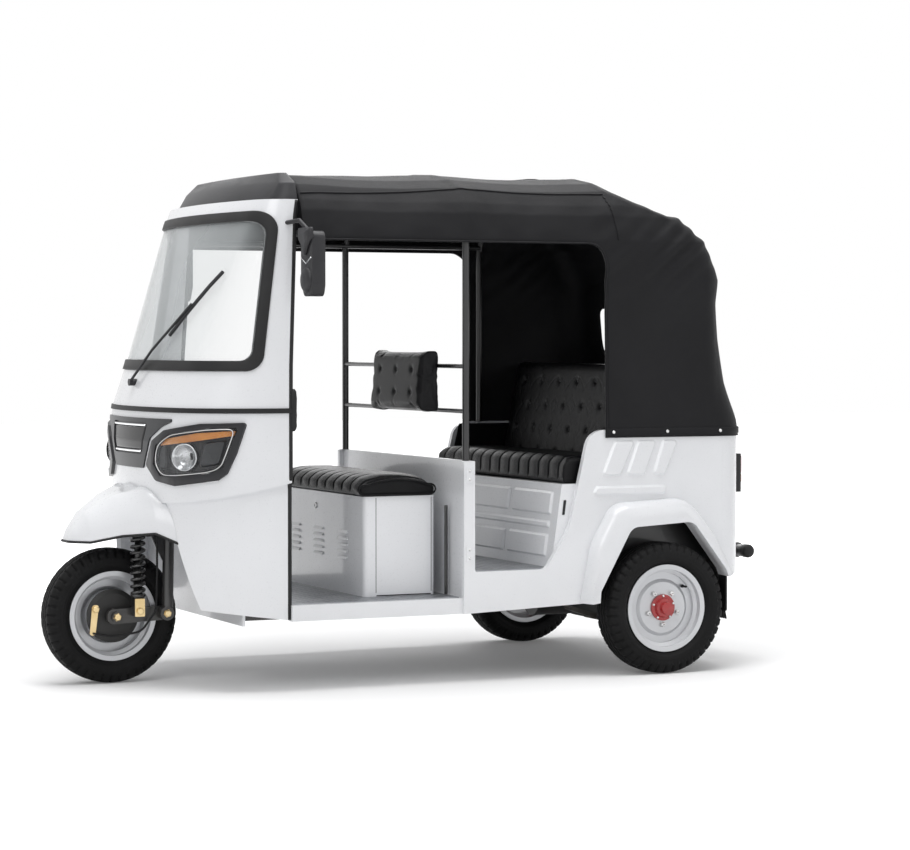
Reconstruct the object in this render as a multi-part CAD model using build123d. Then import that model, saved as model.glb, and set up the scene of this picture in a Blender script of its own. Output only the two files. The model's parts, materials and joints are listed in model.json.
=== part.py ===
"""Passenger auto rickshaw: three-wheeled, enclosed nose, fabric canopy, bench behind the driver.

Millimetres. +X forward, +Y left, +Z up, origin on the ground under the middle of the box.
A station is a distance ahead of the rear axle; at() turns it into X.
"""
import os
from math import cos, hypot, radians, sin

from build123d import *

# Main sizes
WHEELBASE = 2000.0
TRACK = 1204.0
TYRE_R = 250.0
FRONT_TYRE_W = 128.0
REAR_TYRE_W = 136.0
SIDE_OVERHANG = 10.0
CAB_STEP = 12.0
SIDE_HALF = TRACK / 2 + SIDE_OVERHANG
CAB_HALF = SIDE_HALF - CAB_STEP
REAR_REACH = 536.0
FLOOR_Z = 316.0
FLOOR_UNDER_Z = 258.0
REAR_FLOOR_Z = 412.0
BELT_Z = 1016.0
RIM_Z = 930.0
HEM_Z = 1632.0

# Gaps and sheet thicknesses
GAP = 0.3
RUN = 0.08
COWL_WALL = 16.0
SIDE_WALL = 22.0
SHEET = 4.0
PLATE = 3.0
CLOTH = 10.0

# Wheels
RIM_R = 166.0
RIM_LIP = 5.0
SEAT_R = 152.0
WELL_R = 139.0
RIM_HALF = 54.0
DRUM_R = 95.0
HUB_R = 38.0
SPINDLE_R = 17.0
SHOULDER = 12.0

# Steering
STEER_STATION = WHEELBASE - 200.0
STEER_Z = 2 * TYRE_R + 120.0
RAKE = radians(25.0)
COLUMN_R = 18.0
HEAD_R = 32.0
HEAD_LOW = 62.0
HEAD_HIGH = 262.0
COLUMN_TOP = 395.0
BAR_R = 11.0
BAR_HALF = 285.0
GRIP_R = 16.0
GRIP_L = 120.0
LEG_Y = FRONT_TYRE_W / 2 + 50.0
LEG_R = 21.0
LEG_STATION = WHEELBASE - 190.0
PIVOT_Z = TYRE_R + 9.0
PIVOT_STATION = WHEELBASE - 184.0
SHOCK_STATION = WHEELBASE - 76.0
SHOCK_R = 30.0
CROWN_Z = 2 * TYRE_R + 70.0
CROWN_T = 32.0

# Cab
CAB_REAR = WHEELBASE - 495.0
TOE_STATION = WHEELBASE - 340.0
TOE_TOP = 640.0
PARTITION = 785.0
PARTITION_T = 25.0
PARTITION_TOP = 823.0
POST_FRONT = PARTITION + PARTITION_T + 19.0
SEAT_REAR = POST_FRONT + 39.0
SEAT_LENGTH = 290.0
SEAT_FRONT = SEAT_REAR + SEAT_LENGTH
SEAT_HALF = 440.0
SEAT_TOP = 690.0
SEAT_SHEET = 8.0
CUSHION_T = 72.0
PILLAR_STATION = PARTITION + 22.0
PILLAR_Y = CAB_HALF - 22.0
TUBE_R = 13.0
BACK_BAR_Z = (1006.0, 1172.0)
BACK_BAR_R = 8.5

# Bench
RISER_FOOT = 458.0
RISER_HEAD = 414.0
BENCH_Z = 728.0
BENCH_HALF = SIDE_HALF - SIDE_WALL - GAP
BENCH_TOP = 825.0
BACK_FOOT = 119.0
BACK_HEAD = 18.0
BACK_TOP = 1190.0
BACK_T = 76.0
RISER_PADS = ((450.0, 540.0, 3), (558.0, 590.0, 1), (608.0, 700.0, 3))
RISER_MARGIN = 40.0
RISER_SPACE = 28.0
PRESS_PROUD = 8.0
PRESS_SLOPE = 10.0

# Tail
TAIL = 378.0
TAIL_CORNER = 110.0
TAIL_Z = 365.0
BUMPER_R = 24.0
BUMPER_Z = 433.0
BUMPER_HALF = 400.0
BUMPER_END = 80.0
COLLAR_W = 30.0
COLLAR_R = BUMPER_R + 6.0

REAR_AXLE_X = -(WHEELBASE + TYRE_R - REAR_REACH) / 2

# Cowl plan sections: height, nose station behind front axle, half width, centre radius, rear edge, side flat
LEG_ROWS = (
    (234.0, 100.0, CAB_HALF - 14, 1400.0, 495.0, 40.0),
    (800.0, 96.0, CAB_HALF - 12, 1400.0, 495.0, 40.0),
)
NOSE_ROWS = (
    (640.0, 88.0, CAB_HALF, 1400.0, 495.0, 43.0),
    (900.0, 73.0, CAB_HALF, 1400.0, 495.0, 43.0),
    (BELT_Z - 9, 84.0, CAB_HALF, 1400.0, 495.0, 43.0),
)
BELT_ROWS = (
    (BELT_Z - 9 + GAP, 84.0, CAB_HALF, 1400.0, 495.0, 43.0),
    (BELT_Z + 9 - GAP, 87.0, CAB_HALF, 1400.0, 495.0, 41.0),
)
SCREEN_ROWS = (
    (BELT_Z + 9, 88.0, CAB_HALF, 1400.0, 495.0, 40.0),
    (1175.0, 142.0, CAB_HALF - 3, 1450.0, 497.0, 12.0),
    (1715.0, 325.0, CAB_HALF - 33, 1900.0, 525.0, 4.0),
    (1775.0, 355.0, CAB_HALF - 37, 2200.0, 534.0, 4.0),
)
VISOR_ROWS = (
    (1775.0 + GAP, 390.0, CAB_HALF - 40, 2200.0, 534.0, 4.0),
    (1836.0, 426.0, CAB_HALF - 64, 2200.0, 534.0, 4.0),
    (1876.0, 482.0, CAB_HALF - 150, 4000.0, 534.0, 4.0),
)
VISOR_T = 8.0
LIP_T = 8.0
LIP_W = 66.0
CREASE_REAR_Z = 757.0
CREASE_SLOPE = 0.209
SKIRT_Z = 262.0
SKIRT_SLOPE = 0.125

# Canopy sections: height, back station behind rear axle, half width, corner radius, front station
CANOPY_FRONT = CAB_REAR - 42.0
CANOPY_ROWS = (
    (RIM_Z + GAP, TAIL, SIDE_HALF, TAIL_CORNER, CANOPY_FRONT),
    (1105.0, 322.0, SIDE_HALF - 1, 105.0, CANOPY_FRONT),
    (1271.0, 290.0, SIDE_HALF - 2, 100.0, CANOPY_FRONT),
    (1408.0, 277.0, SIDE_HALF - 2, 95.0, CANOPY_FRONT),
    (1500.0, 284.0, SIDE_HALF - 2, 90.0, CANOPY_FRONT),
    (HEM_Z + 12, 222.0, SIDE_HALF + 4, 90.0, CANOPY_FRONT),
    (1738.0, 118.0, SIDE_HALF - 18, 90.0, CANOPY_FRONT),
    (1778.0, 4.0, SIDE_HALF - 40, 90.0, CANOPY_FRONT),
    (1832.0, -128.0, SIDE_HALF - 92, 90.0, CANOPY_FRONT),
    (1866.0, -152.0, SIDE_HALF - 180, 90.0, CANOPY_FRONT),
    (1890.0, -175.0, SIDE_HALF - 320, 80.0, CANOPY_FRONT - 60),
    (1900.0, -270.0, SIDE_HALF - 490, 60.0, CANOPY_FRONT - 190),
)

# Lamp outlines in a plane turned 45 degrees to the nose: across, up, corner radius
LAMP_TURN = radians(45.0)
LAMP_REACH = 500.0
BEZEL = ((54, 813, 12), (94, 903, 20), (163, 944, 30), (330, 970, 0), (505, 975, 10),
         (470, 863, 0), (437, 791, 20), (403, 767, 20), (218, 743, 20), (110, 758, 30))
LENS = ((100, 820, 8), (119, 889, 14), (194, 931, 20), (363, 953, 0), (478, 958, 6),
        (425, 812, 14), (373, 793, 20), (219, 777, 10), (140, 776, 12))
AMBER = ((134, 886, 2), (170, 912, 6), (320, 936, 0), (464, 945, 2), (458, 928, 2), (320, 908, 0),
         (170, 890, 4))
GRILLE = ((-392, 984, 6), (-300, 956, 0), (-226, 915, 10), (-172, 824, 6), (-160, 800, 14),
          (160, 800, 14), (172, 824, 6), (226, 915, 10), (300, 956, 0), (392, 984, 6))
BADGE = ((-196, 968, 14), (-158, 852, 14), (158, 852, 14), (196, 968, 14))

# Arch outlines as multiples of the tyre radius from the wheel centre
ARCH_IN = ((1.165, 0.10, 0), (1.15, 0.30, 0.1), (0.62, 1.25, 0.2), (-0.44, 1.31, 0.2), (-1.02, 0.56, 0.1),
           (-1.06, 0.46, 0))
ARCH_OUT = ((1.40, 0.12, 0), (1.215, 1.02, 0.8), (0.87, 1.615, 0.35), (-0.42, 1.675, 0.5),
            (-0.86, 1.14, 0.3),
            (-1.22, 0.50, 0), (-1.08, 0.46, 0))
FLARE_ROWS = ((1.0, 0.0), (0.99, 26.0), (0.955, 50.0), (0.915, 58.0))
HOUSE_REAR = TAIL - TAIL_CORNER - 1


def at(station):
    return REAR_AXLE_X + station


def wire(points, place):
    """Closed wire through (u, v) or (u, v, radius) corners; place turns (u, v) into a point."""
    corners = [(p[0], p[1], p[2] if len(p) > 2 else 0.0) for p in points]
    starts, ends, mids = [], [], []
    for i, (u, v, r) in enumerate(corners):
        pu, pv, _ = corners[i - 1]
        nu, nv, _ = corners[(i + 1) % len(corners)]
        a, b = hypot(pu - u, pv - v), hypot(nu - u, nv - v)
        du, dv, eu, ev = (pu - u) / a, (pv - v) / a, (nu - u) / b, (nv - v) / b
        half = hypot(du + eu, dv + ev) / 2
        if r <= 0 or half < 1e-4:
            starts.append((u, v))
            ends.append((u, v))
            mids.append(None)
            continue
        run = r * half / (1 - half * half) ** 0.5
        far = r / (1 - half * half) ** 0.5 - r
        mu, mv = (du + eu) / (2 * half), (dv + ev) / (2 * half)
        starts.append((u + du * run, v + dv * run))
        ends.append((u + eu * run, v + ev * run))
        mids.append((u + mu * far, v + mv * far))
    edges = []
    for i in range(len(corners)):
        if mids[i]:
            edges.append(Edge.make_three_point_arc(place(*starts[i]), place(*mids[i]), place(*ends[i])))
        nxt = starts[(i + 1) % len(corners)]
        if hypot(nxt[0] - ends[i][0], nxt[1] - ends[i][1]) > 1e-3:
            edges.append(Edge.make_line(place(*ends[i]), place(*nxt)))
    return Wire(edges)


def side_prism(points, y0, y1):
    """Outline in station and height, thick from y0 to y1."""
    face = Face(wire(points, lambda s, z: Vector(at(s), y0, z)))
    return Solid.extrude(face, Vector(0, y1 - y0, 0))


def front_prism(points, s0, s1):
    """Outline in Y and height, thick from station s0 to s1."""
    face = Face(wire(points, lambda y, z: Vector(at(s0), y, z)))
    return Solid.extrude(face, Vector(s1 - s0, 0, 0))


def top_prism(points, z0, z1):
    """Outline in station and Y, thick from z0 to z1."""
    face = Face(wire(points, lambda s, y: Vector(at(s), y, z0)))
    return Solid.extrude(face, Vector(0, 0, z1 - z0))


def lamp_prism(points):
    """Outline in the turned lamp plane of the left corner, reaching out through the nose."""
    c, s = cos(LAMP_TURN), sin(LAMP_TURN)

    def place(u, z):
        return Vector(at(STEER_STATION) - s * u + c * 110, c * u + s * 110, z)

    return Solid.extrude(Face(wire(points, place)), Vector(c * LAMP_REACH, s * LAMP_REACH, 0))


def box(s0, s1, y0, y1, z0, z1, r=0.0):
    return top_prism(((s0, y0, r), (s1, y0, r), (s1, y1, r), (s0, y1, r)), z0, z1)


def rod(p, q, r):
    p, q = Vector(p), Vector(q)
    return Solid.make_cylinder(r, (q - p).length, Plane(origin=p, z_dir=q - p))


def chain(points, r):
    """Round bar through points, with a ball at each inner corner."""
    pieces = [rod(p, q, r) for p, q in zip(points, points[1:])]
    pieces += [Solid.make_sphere(r, Plane(origin=Vector(*p))) for p in points[1:-1]]
    return fuse(pieces)


def spin(profile, station, y, z, side=1):
    """Turned piece about a cross axle: profile holds (outward offset, radius)."""
    def place(a, r):
        return Vector(at(station), y + side * a, z + r)

    return Solid.revolve(Face(wire(profile, place)), 360, Axis((at(station), y, z), (0, 1, 0)))


def fuse(pieces):
    out = pieces[0]
    for piece in pieces[1:]:
        out = out + piece
    return out


def cut(base, *tools):
    for tool in tools:
        base = base - tool
    return base


def mirrored(piece):
    return piece.mirror(Plane.XZ)


def both(piece):
    return [piece, mirrored(piece)]


def cowl_wire(row, inset, tail):
    """Nose plan: side flats, two corner arcs and a shallow centre arc, all tangent."""
    z, nose, half, centre_r, rear, flat = row
    nose, rear = at(WHEELBASE - nose) - inset, at(WHEELBASE - rear)
    half, centre_r, start = half - inset, centre_r - inset, rear + flat
    reach = start - nose + centre_r
    corner = (centre_r ** 2 - reach ** 2 - half ** 2) / (2 * (centre_r - half))
    span = hypot(reach, half - corner)
    ux, uy = reach / span, (half - corner) / span
    tx, ty = nose - centre_r + ux * centre_r, uy * centre_r
    bisect = hypot(ux, uy + 1)
    mx, my = start + corner * ux / bisect, half - corner + corner * (uy + 1) / bisect
    back = rear - tail

    def left(x, y):
        return Vector(x, y, z)

    def right(x, y):
        return Vector(x, -y, z)

    return Wire([
        Edge.make_line(right(back, half), right(start, half)),
        Edge.make_three_point_arc(right(start, half), right(mx, my), right(tx, ty)),
        Edge.make_three_point_arc(right(tx, ty), left(nose, 0), left(tx, ty)),
        Edge.make_three_point_arc(left(tx, ty), left(mx, my), left(start, half)),
        Edge.make_line(left(start, half), left(back, half)),
        Edge.make_line(left(back, half), right(back, half)),
    ])


def cowl_solid(rows, inset=0.0, tail=0.0, over=0.0):
    """Solid nose form between plan sections, each shrunk by inset."""
    rows = [list(row) for row in rows]
    rows[0][0] -= over
    rows[-1][0] += over
    return Solid.make_loft([cowl_wire(row, inset, tail) for row in rows], ruled=True)


def cowl_shell(rows, outer, inner):
    """Nose skin between two insets, open behind, above and below."""
    return cowl_solid(rows, outer) - cowl_solid(rows, inner, tail=30.0, over=2.0)


def cowl_station(y, z, rows=SCREEN_ROWS):
    """Station of the nose's outer skin at a place across and up."""
    for low, high in zip(rows, rows[1:]):
        if z <= high[0]:
            break
    t = (z - low[0]) / (high[0] - low[0])
    _, nose, half, centre_r, rear, flat = [a + (b - a) * t for a, b in zip(low, high)]
    nose, start = WHEELBASE - nose, WHEELBASE - rear + flat
    reach = start - nose + centre_r
    corner = (centre_r ** 2 - reach ** 2 - half ** 2) / (2 * (centre_r - half))
    span = hypot(reach, half - corner)
    if abs(y) <= (half - corner) / span * centre_r:
        return nose - centre_r + (centre_r ** 2 - y * y) ** 0.5
    return start + (corner ** 2 - (abs(y) - half + corner) ** 2) ** 0.5


def steer_point(up, y=0.0):
    """Point on the raked steering axis, a distance up from its reference."""
    return (at(STEER_STATION) - sin(RAKE) * up, y, STEER_Z + cos(RAKE) * up)


def screen_outline(margin):
    """Side view of the windscreen opening, shrunk by a margin; only its rear corners are round."""
    low, high = 1157 + margin, 1735 - margin
    rear_low, rear_high = WHEELBASE - 388 + margin * 0.85, WHEELBASE - 468 + margin * 1.05
    r = max(68 - 0.6 * margin, 20)
    front = WHEELBASE + 60
    return ((rear_low, low, r), (front, low), (front, high), (rear_high, high, r))


# Wheels

def tyre_profile(width):
    half = width / 2
    bead = RIM_HALF - RIM_LIP - GAP
    mid = (SEAT_R + TYRE_R) / 2
    side = [(bead, SEAT_R + GAP), (bead, RIM_R + 1), (half - 3, RIM_R + 14), (half, mid + 8),
            (half - 4, TYRE_R - 22), (half - SHOULDER, TYRE_R - 5), (half - SHOULDER - 14, TYRE_R)]
    return side + [(-a, r) for a, r in reversed(side)]


def rim_profile(disc):
    """Steel rim with a dropped well and a dished disc; disc is the disc's offset outward."""
    h, lip, t = RIM_HALF, RIM_LIP, SHEET
    return [(-h, RIM_R), (-h + lip, RIM_R), (-h + lip, SEAT_R), (-27, SEAT_R), (-21, WELL_R), (21, WELL_R),
            (27, SEAT_R),
            (h - lip, SEAT_R), (h - lip, RIM_R), (h, RIM_R), (h, RIM_R - t), (h - 2, SEAT_R - t),
            (28, SEAT_R - t),
            (22, WELL_R - t), (disc, WELL_R - t), (disc, WELL_R - 30), (disc + 9, WELL_R - 42),
            (disc + 9, HUB_R + GAP), (disc + 3, HUB_R + GAP), (disc + 3, WELL_R - 45),
            (disc - 6, WELL_R - 33),
            (disc - 6, WELL_R - t), (-22, WELL_R - t), (-28, SEAT_R - t), (-h + 2, SEAT_R - t),
            (-h, RIM_R - t)]


REAR_DISC = 12.0
HUB_SEAT = REAR_DISC + 9 + GAP
REAR_HUB = [(-62, SPINDLE_R + RUN), (-62, DRUM_R), (-26, DRUM_R), (-26, HUB_R), (HUB_SEAT, HUB_R),
            (HUB_SEAT, 50),
            (HUB_SEAT + 7, 50), (HUB_SEAT + 9, 38), (HUB_SEAT + 22, 34), (HUB_SEAT + 24, 24),
            (HUB_SEAT + 42, 22),
            (HUB_SEAT + 45, 0), (12, 0), (12, SPINDLE_R + RUN)]
FRONT_DISC = 16.0
FRONT_SPINDLE_R = 13.0
FRONT_HUB = [(-34, FRONT_SPINDLE_R + RUN), (-34, DRUM_R), (4, DRUM_R), (4, HUB_R), (46, HUB_R), (52, 30),
             (52, 0), (40, 0),
             (40, FRONT_SPINDLE_R + RUN)]


def rear_wheel(side):
    y = side * TRACK / 2
    return {
        "tyre": [spin(tyre_profile(REAR_TYRE_W), 0, y, TYRE_R, side)],
        "rim": [spin(rim_profile(REAR_DISC), 0, y, TYRE_R, side)],
        "hub": [spin(REAR_HUB, 0, y, TYRE_R, side)],
    }


def front_wheel():
    tyre = spin(tyre_profile(FRONT_TYRE_W), WHEELBASE, 0, TYRE_R, -1)
    rim = fuse([spin(rim_profile(FRONT_DISC), WHEELBASE, 0, TYRE_R, -1),
                spin(FRONT_HUB, WHEELBASE, 0, TYRE_R, -1),
                spin([(FRONT_DISC + 3, HUB_R - 1), (FRONT_DISC + 3, HUB_R + 6), (FRONT_DISC + 9, HUB_R + 6),
                      (FRONT_DISC + 9, HUB_R - 1)], WHEELBASE, 0, TYRE_R, -1)])
    return [tyre], [rim]


# Steering and front suspension

PLATE_Y = 40.0
LINK_Y0 = FRONT_TYRE_W / 2 + 7
LINK_Y1 = LEG_Y - LEG_R - GAP
CLEVIS_Z = TYRE_R + 42.0


def fork():
    leg_x = at(LEG_STATION)
    leg = rod((leg_x, LEG_Y, PIVOT_Z), (leg_x - 6, LEG_Y, CROWN_Z + CROWN_T / 2), LEG_R)
    knuckle = rod((at(PIVOT_STATION), LEG_Y - LEG_R, PIVOT_Z), (at(PIVOT_STATION), LEG_Y + LEG_R, PIVOT_Z),
                  26)
    crown = top_prism(((LEG_STATION - 34, -24, 14), (LEG_STATION + 24, -30, 14),
                       (SHOCK_STATION + 26, LEG_Y - 30, 14),
                       (SHOCK_STATION + 26, LEG_Y + 20, 16), (LEG_STATION - 34, LEG_Y + 20, 14)),
                      CROWN_Z, CROWN_Z + CROWN_T)
    gusset = side_prism(((LEG_STATION - 4, CROWN_Z + 4), (SHOCK_STATION - 36, CROWN_Z + 4),
                         (LEG_STATION + 16, CROWN_Z - 120)),
                        LEG_Y - 5, LEG_Y + 5)
    bridge = box(SHOCK_STATION - 60, SHOCK_STATION + 26, -34, LEG_Y, CROWN_Z - 26, CROWN_Z + 4, 10)
    column = rod(steer_point(-18), steer_point(COLUMN_TOP), COLUMN_R)
    shock_well = rod((at(SHOCK_STATION), LEG_Y, CROWN_Z - 40), (at(SHOCK_STATION), LEG_Y, CROWN_Z),
                     SHOCK_R + 4)
    return [fuse([leg, knuckle, crown, gusset, cut(bridge, shock_well), column])]


def suspension_link():
    arm = side_prism(((PIVOT_STATION - 30, PIVOT_Z - 26, 22), (WHEELBASE + 34, TYRE_R - 28, 24),
                      (WHEELBASE + 34, TYRE_R + 28, 24), (PIVOT_STATION - 30, PIVOT_Z + 26, 22)), LINK_Y0,
                     LINK_Y1)
    axle = rod((at(WHEELBASE), LINK_Y1 + 14, TYRE_R), (at(WHEELBASE), -38, TYRE_R), FRONT_SPINDLE_R)
    boss = rod((at(WHEELBASE), PLATE_Y + 14, TYRE_R), (at(WHEELBASE), LINK_Y0 + 2, TYRE_R), 24)
    nut = rod((at(WHEELBASE), LINK_Y1 - 1, TYRE_R), (at(WHEELBASE), LINK_Y1 + 12, TYRE_R), 19)
    ear = box(SHOCK_STATION - 16, SHOCK_STATION + 16, LINK_Y1 - 2, LEG_Y + 20, TYRE_R + 2, CLEVIS_Z - GAP)
    return [fuse([arm, axle, boss, nut, ear])]


def shock():
    x = at(SHOCK_STATION)
    body = rod((x, LEG_Y, CLEVIS_Z), (x, LEG_Y, CROWN_Z - GAP), 17)
    foot = rod((x, LEG_Y, CLEVIS_Z), (x, LEG_Y, CLEVIS_Z + 34), 24)
    coils = []
    low, high, turns = CLEVIS_Z + 52, CROWN_Z - 30, 8
    for i in range(turns):
        z = low + (high - low) * i / (turns - 1)
        coils.append(Solid.make_torus(SHOCK_R - 7, 7, Plane(origin=Vector(x, LEG_Y, z))))
    cap = rod((x, LEG_Y, CROWN_Z - 22), (x, LEG_Y, CROWN_Z - GAP), SHOCK_R)
    return [fuse([body, foot, cap] + coils)]


def brake_plate():
    disc = spin([(-PLATE_Y, FRONT_SPINDLE_R + GAP), (-PLATE_Y, DRUM_R + 4), (-PLATE_Y - 8, DRUM_R + 4),
                 (-PLATE_Y - 14 + GAP, DRUM_R - 12), (-PLATE_Y - 14 + GAP, FRONT_SPINDLE_R + GAP)],
                WHEELBASE, 0, TYRE_R, -1)
    pin = rod((at(WHEELBASE + 70), PLATE_Y + 4, TYRE_R + 28),
              (at(WHEELBASE + 70), PLATE_Y + 24, TYRE_R + 28), 10)
    lever = side_prism(((WHEELBASE + 60, TYRE_R + 42, 8), (WHEELBASE + 82, TYRE_R + 42, 8),
                        (WHEELBASE + 92, TYRE_R - 66, 7),
                        (WHEELBASE + 74, TYRE_R - 66, 7)), PLATE_Y + 16, PLATE_Y + 22)
    return [fuse([disc, pin, lever])]


CABLE_R = 4.0
CABLE_ROUTE = ((WHEELBASE + 81, PLATE_Y + 27, TYRE_R - 60), (WHEELBASE + 10, PLATE_Y + 36, TYRE_R - 74),
               (WHEELBASE - 92, PLATE_Y + 62, TYRE_R - 58), (WHEELBASE - 142, LEG_Y + 10, TYRE_R + 20),
               (WHEELBASE - 146, LEG_Y + 13, TYRE_R + 150), (WHEELBASE - 146, LEG_Y + 13, CROWN_Z - GAP))
CABLE_BENDS = (60.0, 60.0, 40.0, 60.0)


def brake_cable():
    points = [Vector(at(s), y, z) for s, y, z in CABLE_ROUTE]
    path = FilletPolyline(*points, radius=list(CABLE_BENDS))
    section = Plane(origin=path @ 0, z_dir=path % 0) * Circle(CABLE_R)
    return [sweep(section, path=path)]


def handlebar():
    sx, _, z = steer_point(COLUMN_TOP)
    clamp = rod((sx, -34, z + 16), (sx, 34, z + 16), 26)
    stub = rod(steer_point(COLUMN_TOP - 40), steer_point(COLUMN_TOP + 16), COLUMN_R + 9)
    hole = rod(steer_point(COLUMN_TOP - 60), steer_point(COLUMN_TOP + RUN), COLUMN_R + RUN)
    bar = chain([(sx - 46, -BAR_HALF, z + 24), (sx, -110, z + 16), (sx, 110, z + 16),
                 (sx - 46, BAR_HALF, z + 24)], BAR_R)
    return [cut(fuse([clamp, stub, bar]), hole)]


def grips():
    sx, _, z = steer_point(COLUMN_TOP)
    p, q = Vector(sx, 110, z + 16), Vector(sx - 46, BAR_HALF, z + 24)
    u = (q - p).normalized()
    a, b = q - u * GRIP_L, q + u * 6
    grip = cut(rod(a, b, GRIP_R), rod(a - u * 2, q + u * GAP, BAR_R + RUN))
    return both(grip)


def instrument_pod():
    sx, _, z = steer_point(COLUMN_TOP)
    s = sx - REAR_AXLE_X
    pod = side_prism(((s - 62, z + 46, 8), (s + 58, z + 46, 14), (s + 44, z + 104, 20),
                      (s - 30, z + 92, 10)), -78, 78)
    foot = side_prism(((s - 16, z + 30), (s + 16, z + 30), (s + 16, z + 60), (s - 16, z + 60)), -30, 30)
    grip_hole = rod((sx, -90, z + 16), (sx, 90, z + 16), 26 + GAP)
    return [cut(fuse([pod, foot]), grip_hole)]


# Chassis

RAIL_Y = 300.0
RAIL_HALF = 20.0
SPRING_Y = 430.0
EYE_R = 16.0
EYE_FRONT = 400.0
EYE_REAR = -328.0
EYE_Z = 300.0
SPRING_SAG = 96.0
LEAF = 8.0
LEAF_HALF = 25.0
AXLE_R = 34.0


def chassis():
    rail = side_prism(((TOE_STATION - 30, FLOOR_Z - 78), (TOE_STATION - 30, FLOOR_Z - 16 - GAP),
                       (520, FLOOR_Z - 16 - GAP),
                       (360, 430), (-TAIL + 30, 430), (-TAIL + 30, 372), (330, 372), (480, FLOOR_Z - 78)),
                      RAIL_Y - RAIL_HALF, RAIL_Y + RAIL_HALF)
    hangers = []
    for eye in (EYE_FRONT, EYE_REAR):
        hangers.append(box(eye - 26, eye + 26, RAIL_Y, SPRING_Y + LEAF_HALF + 8, EYE_Z + EYE_R + GAP,
                           REAR_FLOOR_Z - 18))
    side = fuse([rail] + hangers)
    ties = []
    for s, z in ((TOE_STATION - 70, FLOOR_Z - 58), (1180, FLOOR_Z - 58), (700, FLOOR_Z - 58), (300, 401),
                 (-300, 401)):
        ties.append(box(s - 22, s + 22, -RAIL_Y, RAIL_Y, z - 18, z + 18))
    return [fuse(both(side) + ties)]


def leaf_springs():
    span = (EYE_FRONT - EYE_REAR) / 2
    mid = (EYE_FRONT + EYE_REAR) / 2
    radius = (span ** 2 + SPRING_SAG ** 2) / (2 * SPRING_SAG)
    top = EYE_Z - SPRING_SAG + radius
    leaves = [rod((at(s), SPRING_Y - LEAF_HALF, EYE_Z), (at(s), SPRING_Y + LEAF_HALF, EYE_Z), EYE_R)
              for s in (EYE_FRONT, EYE_REAR)]
    for i, share in enumerate((1.0, 0.74, 0.5, 0.28)):
        inner, outer = radius + i * LEAF, radius + (i + 1) * LEAF
        turn = share * span / radius

        def point(r, a):
            return Vector(at(mid) + r * sin(a), SPRING_Y - LEAF_HALF, top - r * cos(a))

        ring = Wire([Edge.make_three_point_arc(point(inner, -turn), point(inner, 0), point(inner, turn)),
                     Edge.make_line(point(inner, turn), point(outer, turn)),
                     Edge.make_three_point_arc(point(outer, turn), point(outer, 0), point(outer, -turn)),
                     Edge.make_line(point(outer, -turn), point(inner, -turn))])
        leaves.append(Solid.extrude(Face(ring), Vector(0, 2 * LEAF_HALF, 0)))
    return both(fuse(leaves))


def spring_top(s):
    """Height of the main leaf's upper face at a station."""
    span, mid = (EYE_FRONT - EYE_REAR) / 2, (EYE_FRONT + EYE_REAR) / 2
    radius = (span ** 2 + SPRING_SAG ** 2) / (2 * SPRING_SAG)
    return EYE_Z - SPRING_SAG + radius - (radius ** 2 - (s - mid) ** 2) ** 0.5


def rear_axle():
    backing = TRACK / 2 - 62 - 5
    tube = rod((at(0), -backing, TYRE_R), (at(0), backing, TYRE_R), AXLE_R)
    spindle = rod((at(0), -TRACK / 2 - 11, TYRE_R), (at(0), TRACK / 2 + 11, TYRE_R), SPINDLE_R)
    gear = rod((at(0), -64, TYRE_R), (at(0), 64, TYRE_R), 92)
    motor = rod((at(60), 0, TYRE_R), (at(250), 0, TYRE_R), 76)
    pieces = [tube, spindle, gear, motor]
    for side in (1, -1):
        pieces.append(rod((at(0), side * (backing - 10), TYRE_R), (at(0), side * backing, TYRE_R),
                          DRUM_R + 4))
        seat = max(spring_top(45), spring_top(-45))
        pieces.append(box(-45, 45, side * SPRING_Y - LEAF_HALF, side * SPRING_Y + LEAF_HALF, seat + GAP,
                          TYRE_R))
    return [fuse(pieces)]


def steering_head():
    foot = FLOOR_Z + PLATE + GAP
    low, high = steer_point(HEAD_LOW + 18), steer_point(HEAD_HIGH - 18)
    neck = side_prism(((TOE_STATION - 70, foot), (TOE_STATION - 10, foot), (TOE_STATION - 8, TOE_TOP),
                       (low[0] - REAR_AXLE_X, low[2]), (high[0] - REAR_AXLE_X, high[2]),
                       (TOE_STATION - 60, TOE_TOP + 60)),
                      -28, 28)
    tube = rod(steer_point(HEAD_LOW), steer_point(HEAD_HIGH), HEAD_R)
    bore = rod(steer_point(HEAD_LOW - 40), steer_point(HEAD_HIGH + 60), COLUMN_R + RUN)
    return [cut(fuse([neck, tube]), bore)]


# Cab

def floor_pan():
    deck = box(POST_FRONT + GAP, CAB_REAR - GAP, -CAB_HALF, CAB_HALF, FLOOR_Z - 16, FLOOR_Z)
    toe = box(CAB_REAR - 10, TOE_STATION - GAP, -CAB_HALF + 62, CAB_HALF - 62, FLOOR_Z - 16, FLOOR_Z)
    sills = both(box(POST_FRONT + GAP, CAB_REAR - GAP, CAB_HALF - 34, CAB_HALF, FLOOR_UNDER_Z, FLOOR_Z))
    return [fuse([deck, toe] + sills)]


def floor_plates():
    front = fuse([box(POST_FRONT + 2, CAB_REAR - 6, -CAB_HALF + 30, CAB_HALF - 30, FLOOR_Z,
                      FLOOR_Z + PLATE),
                  box(CAB_REAR - 10, TOE_STATION - 2, -CAB_HALF + 70, CAB_HALF - 70, FLOOR_Z,
                      FLOOR_Z + PLATE)])
    rear = box(RISER_FOOT + 2, PARTITION - 2, -BENCH_HALF, BENCH_HALF, REAR_FLOOR_Z, REAR_FLOOR_Z + PLATE)
    return [front, rear]


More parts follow.
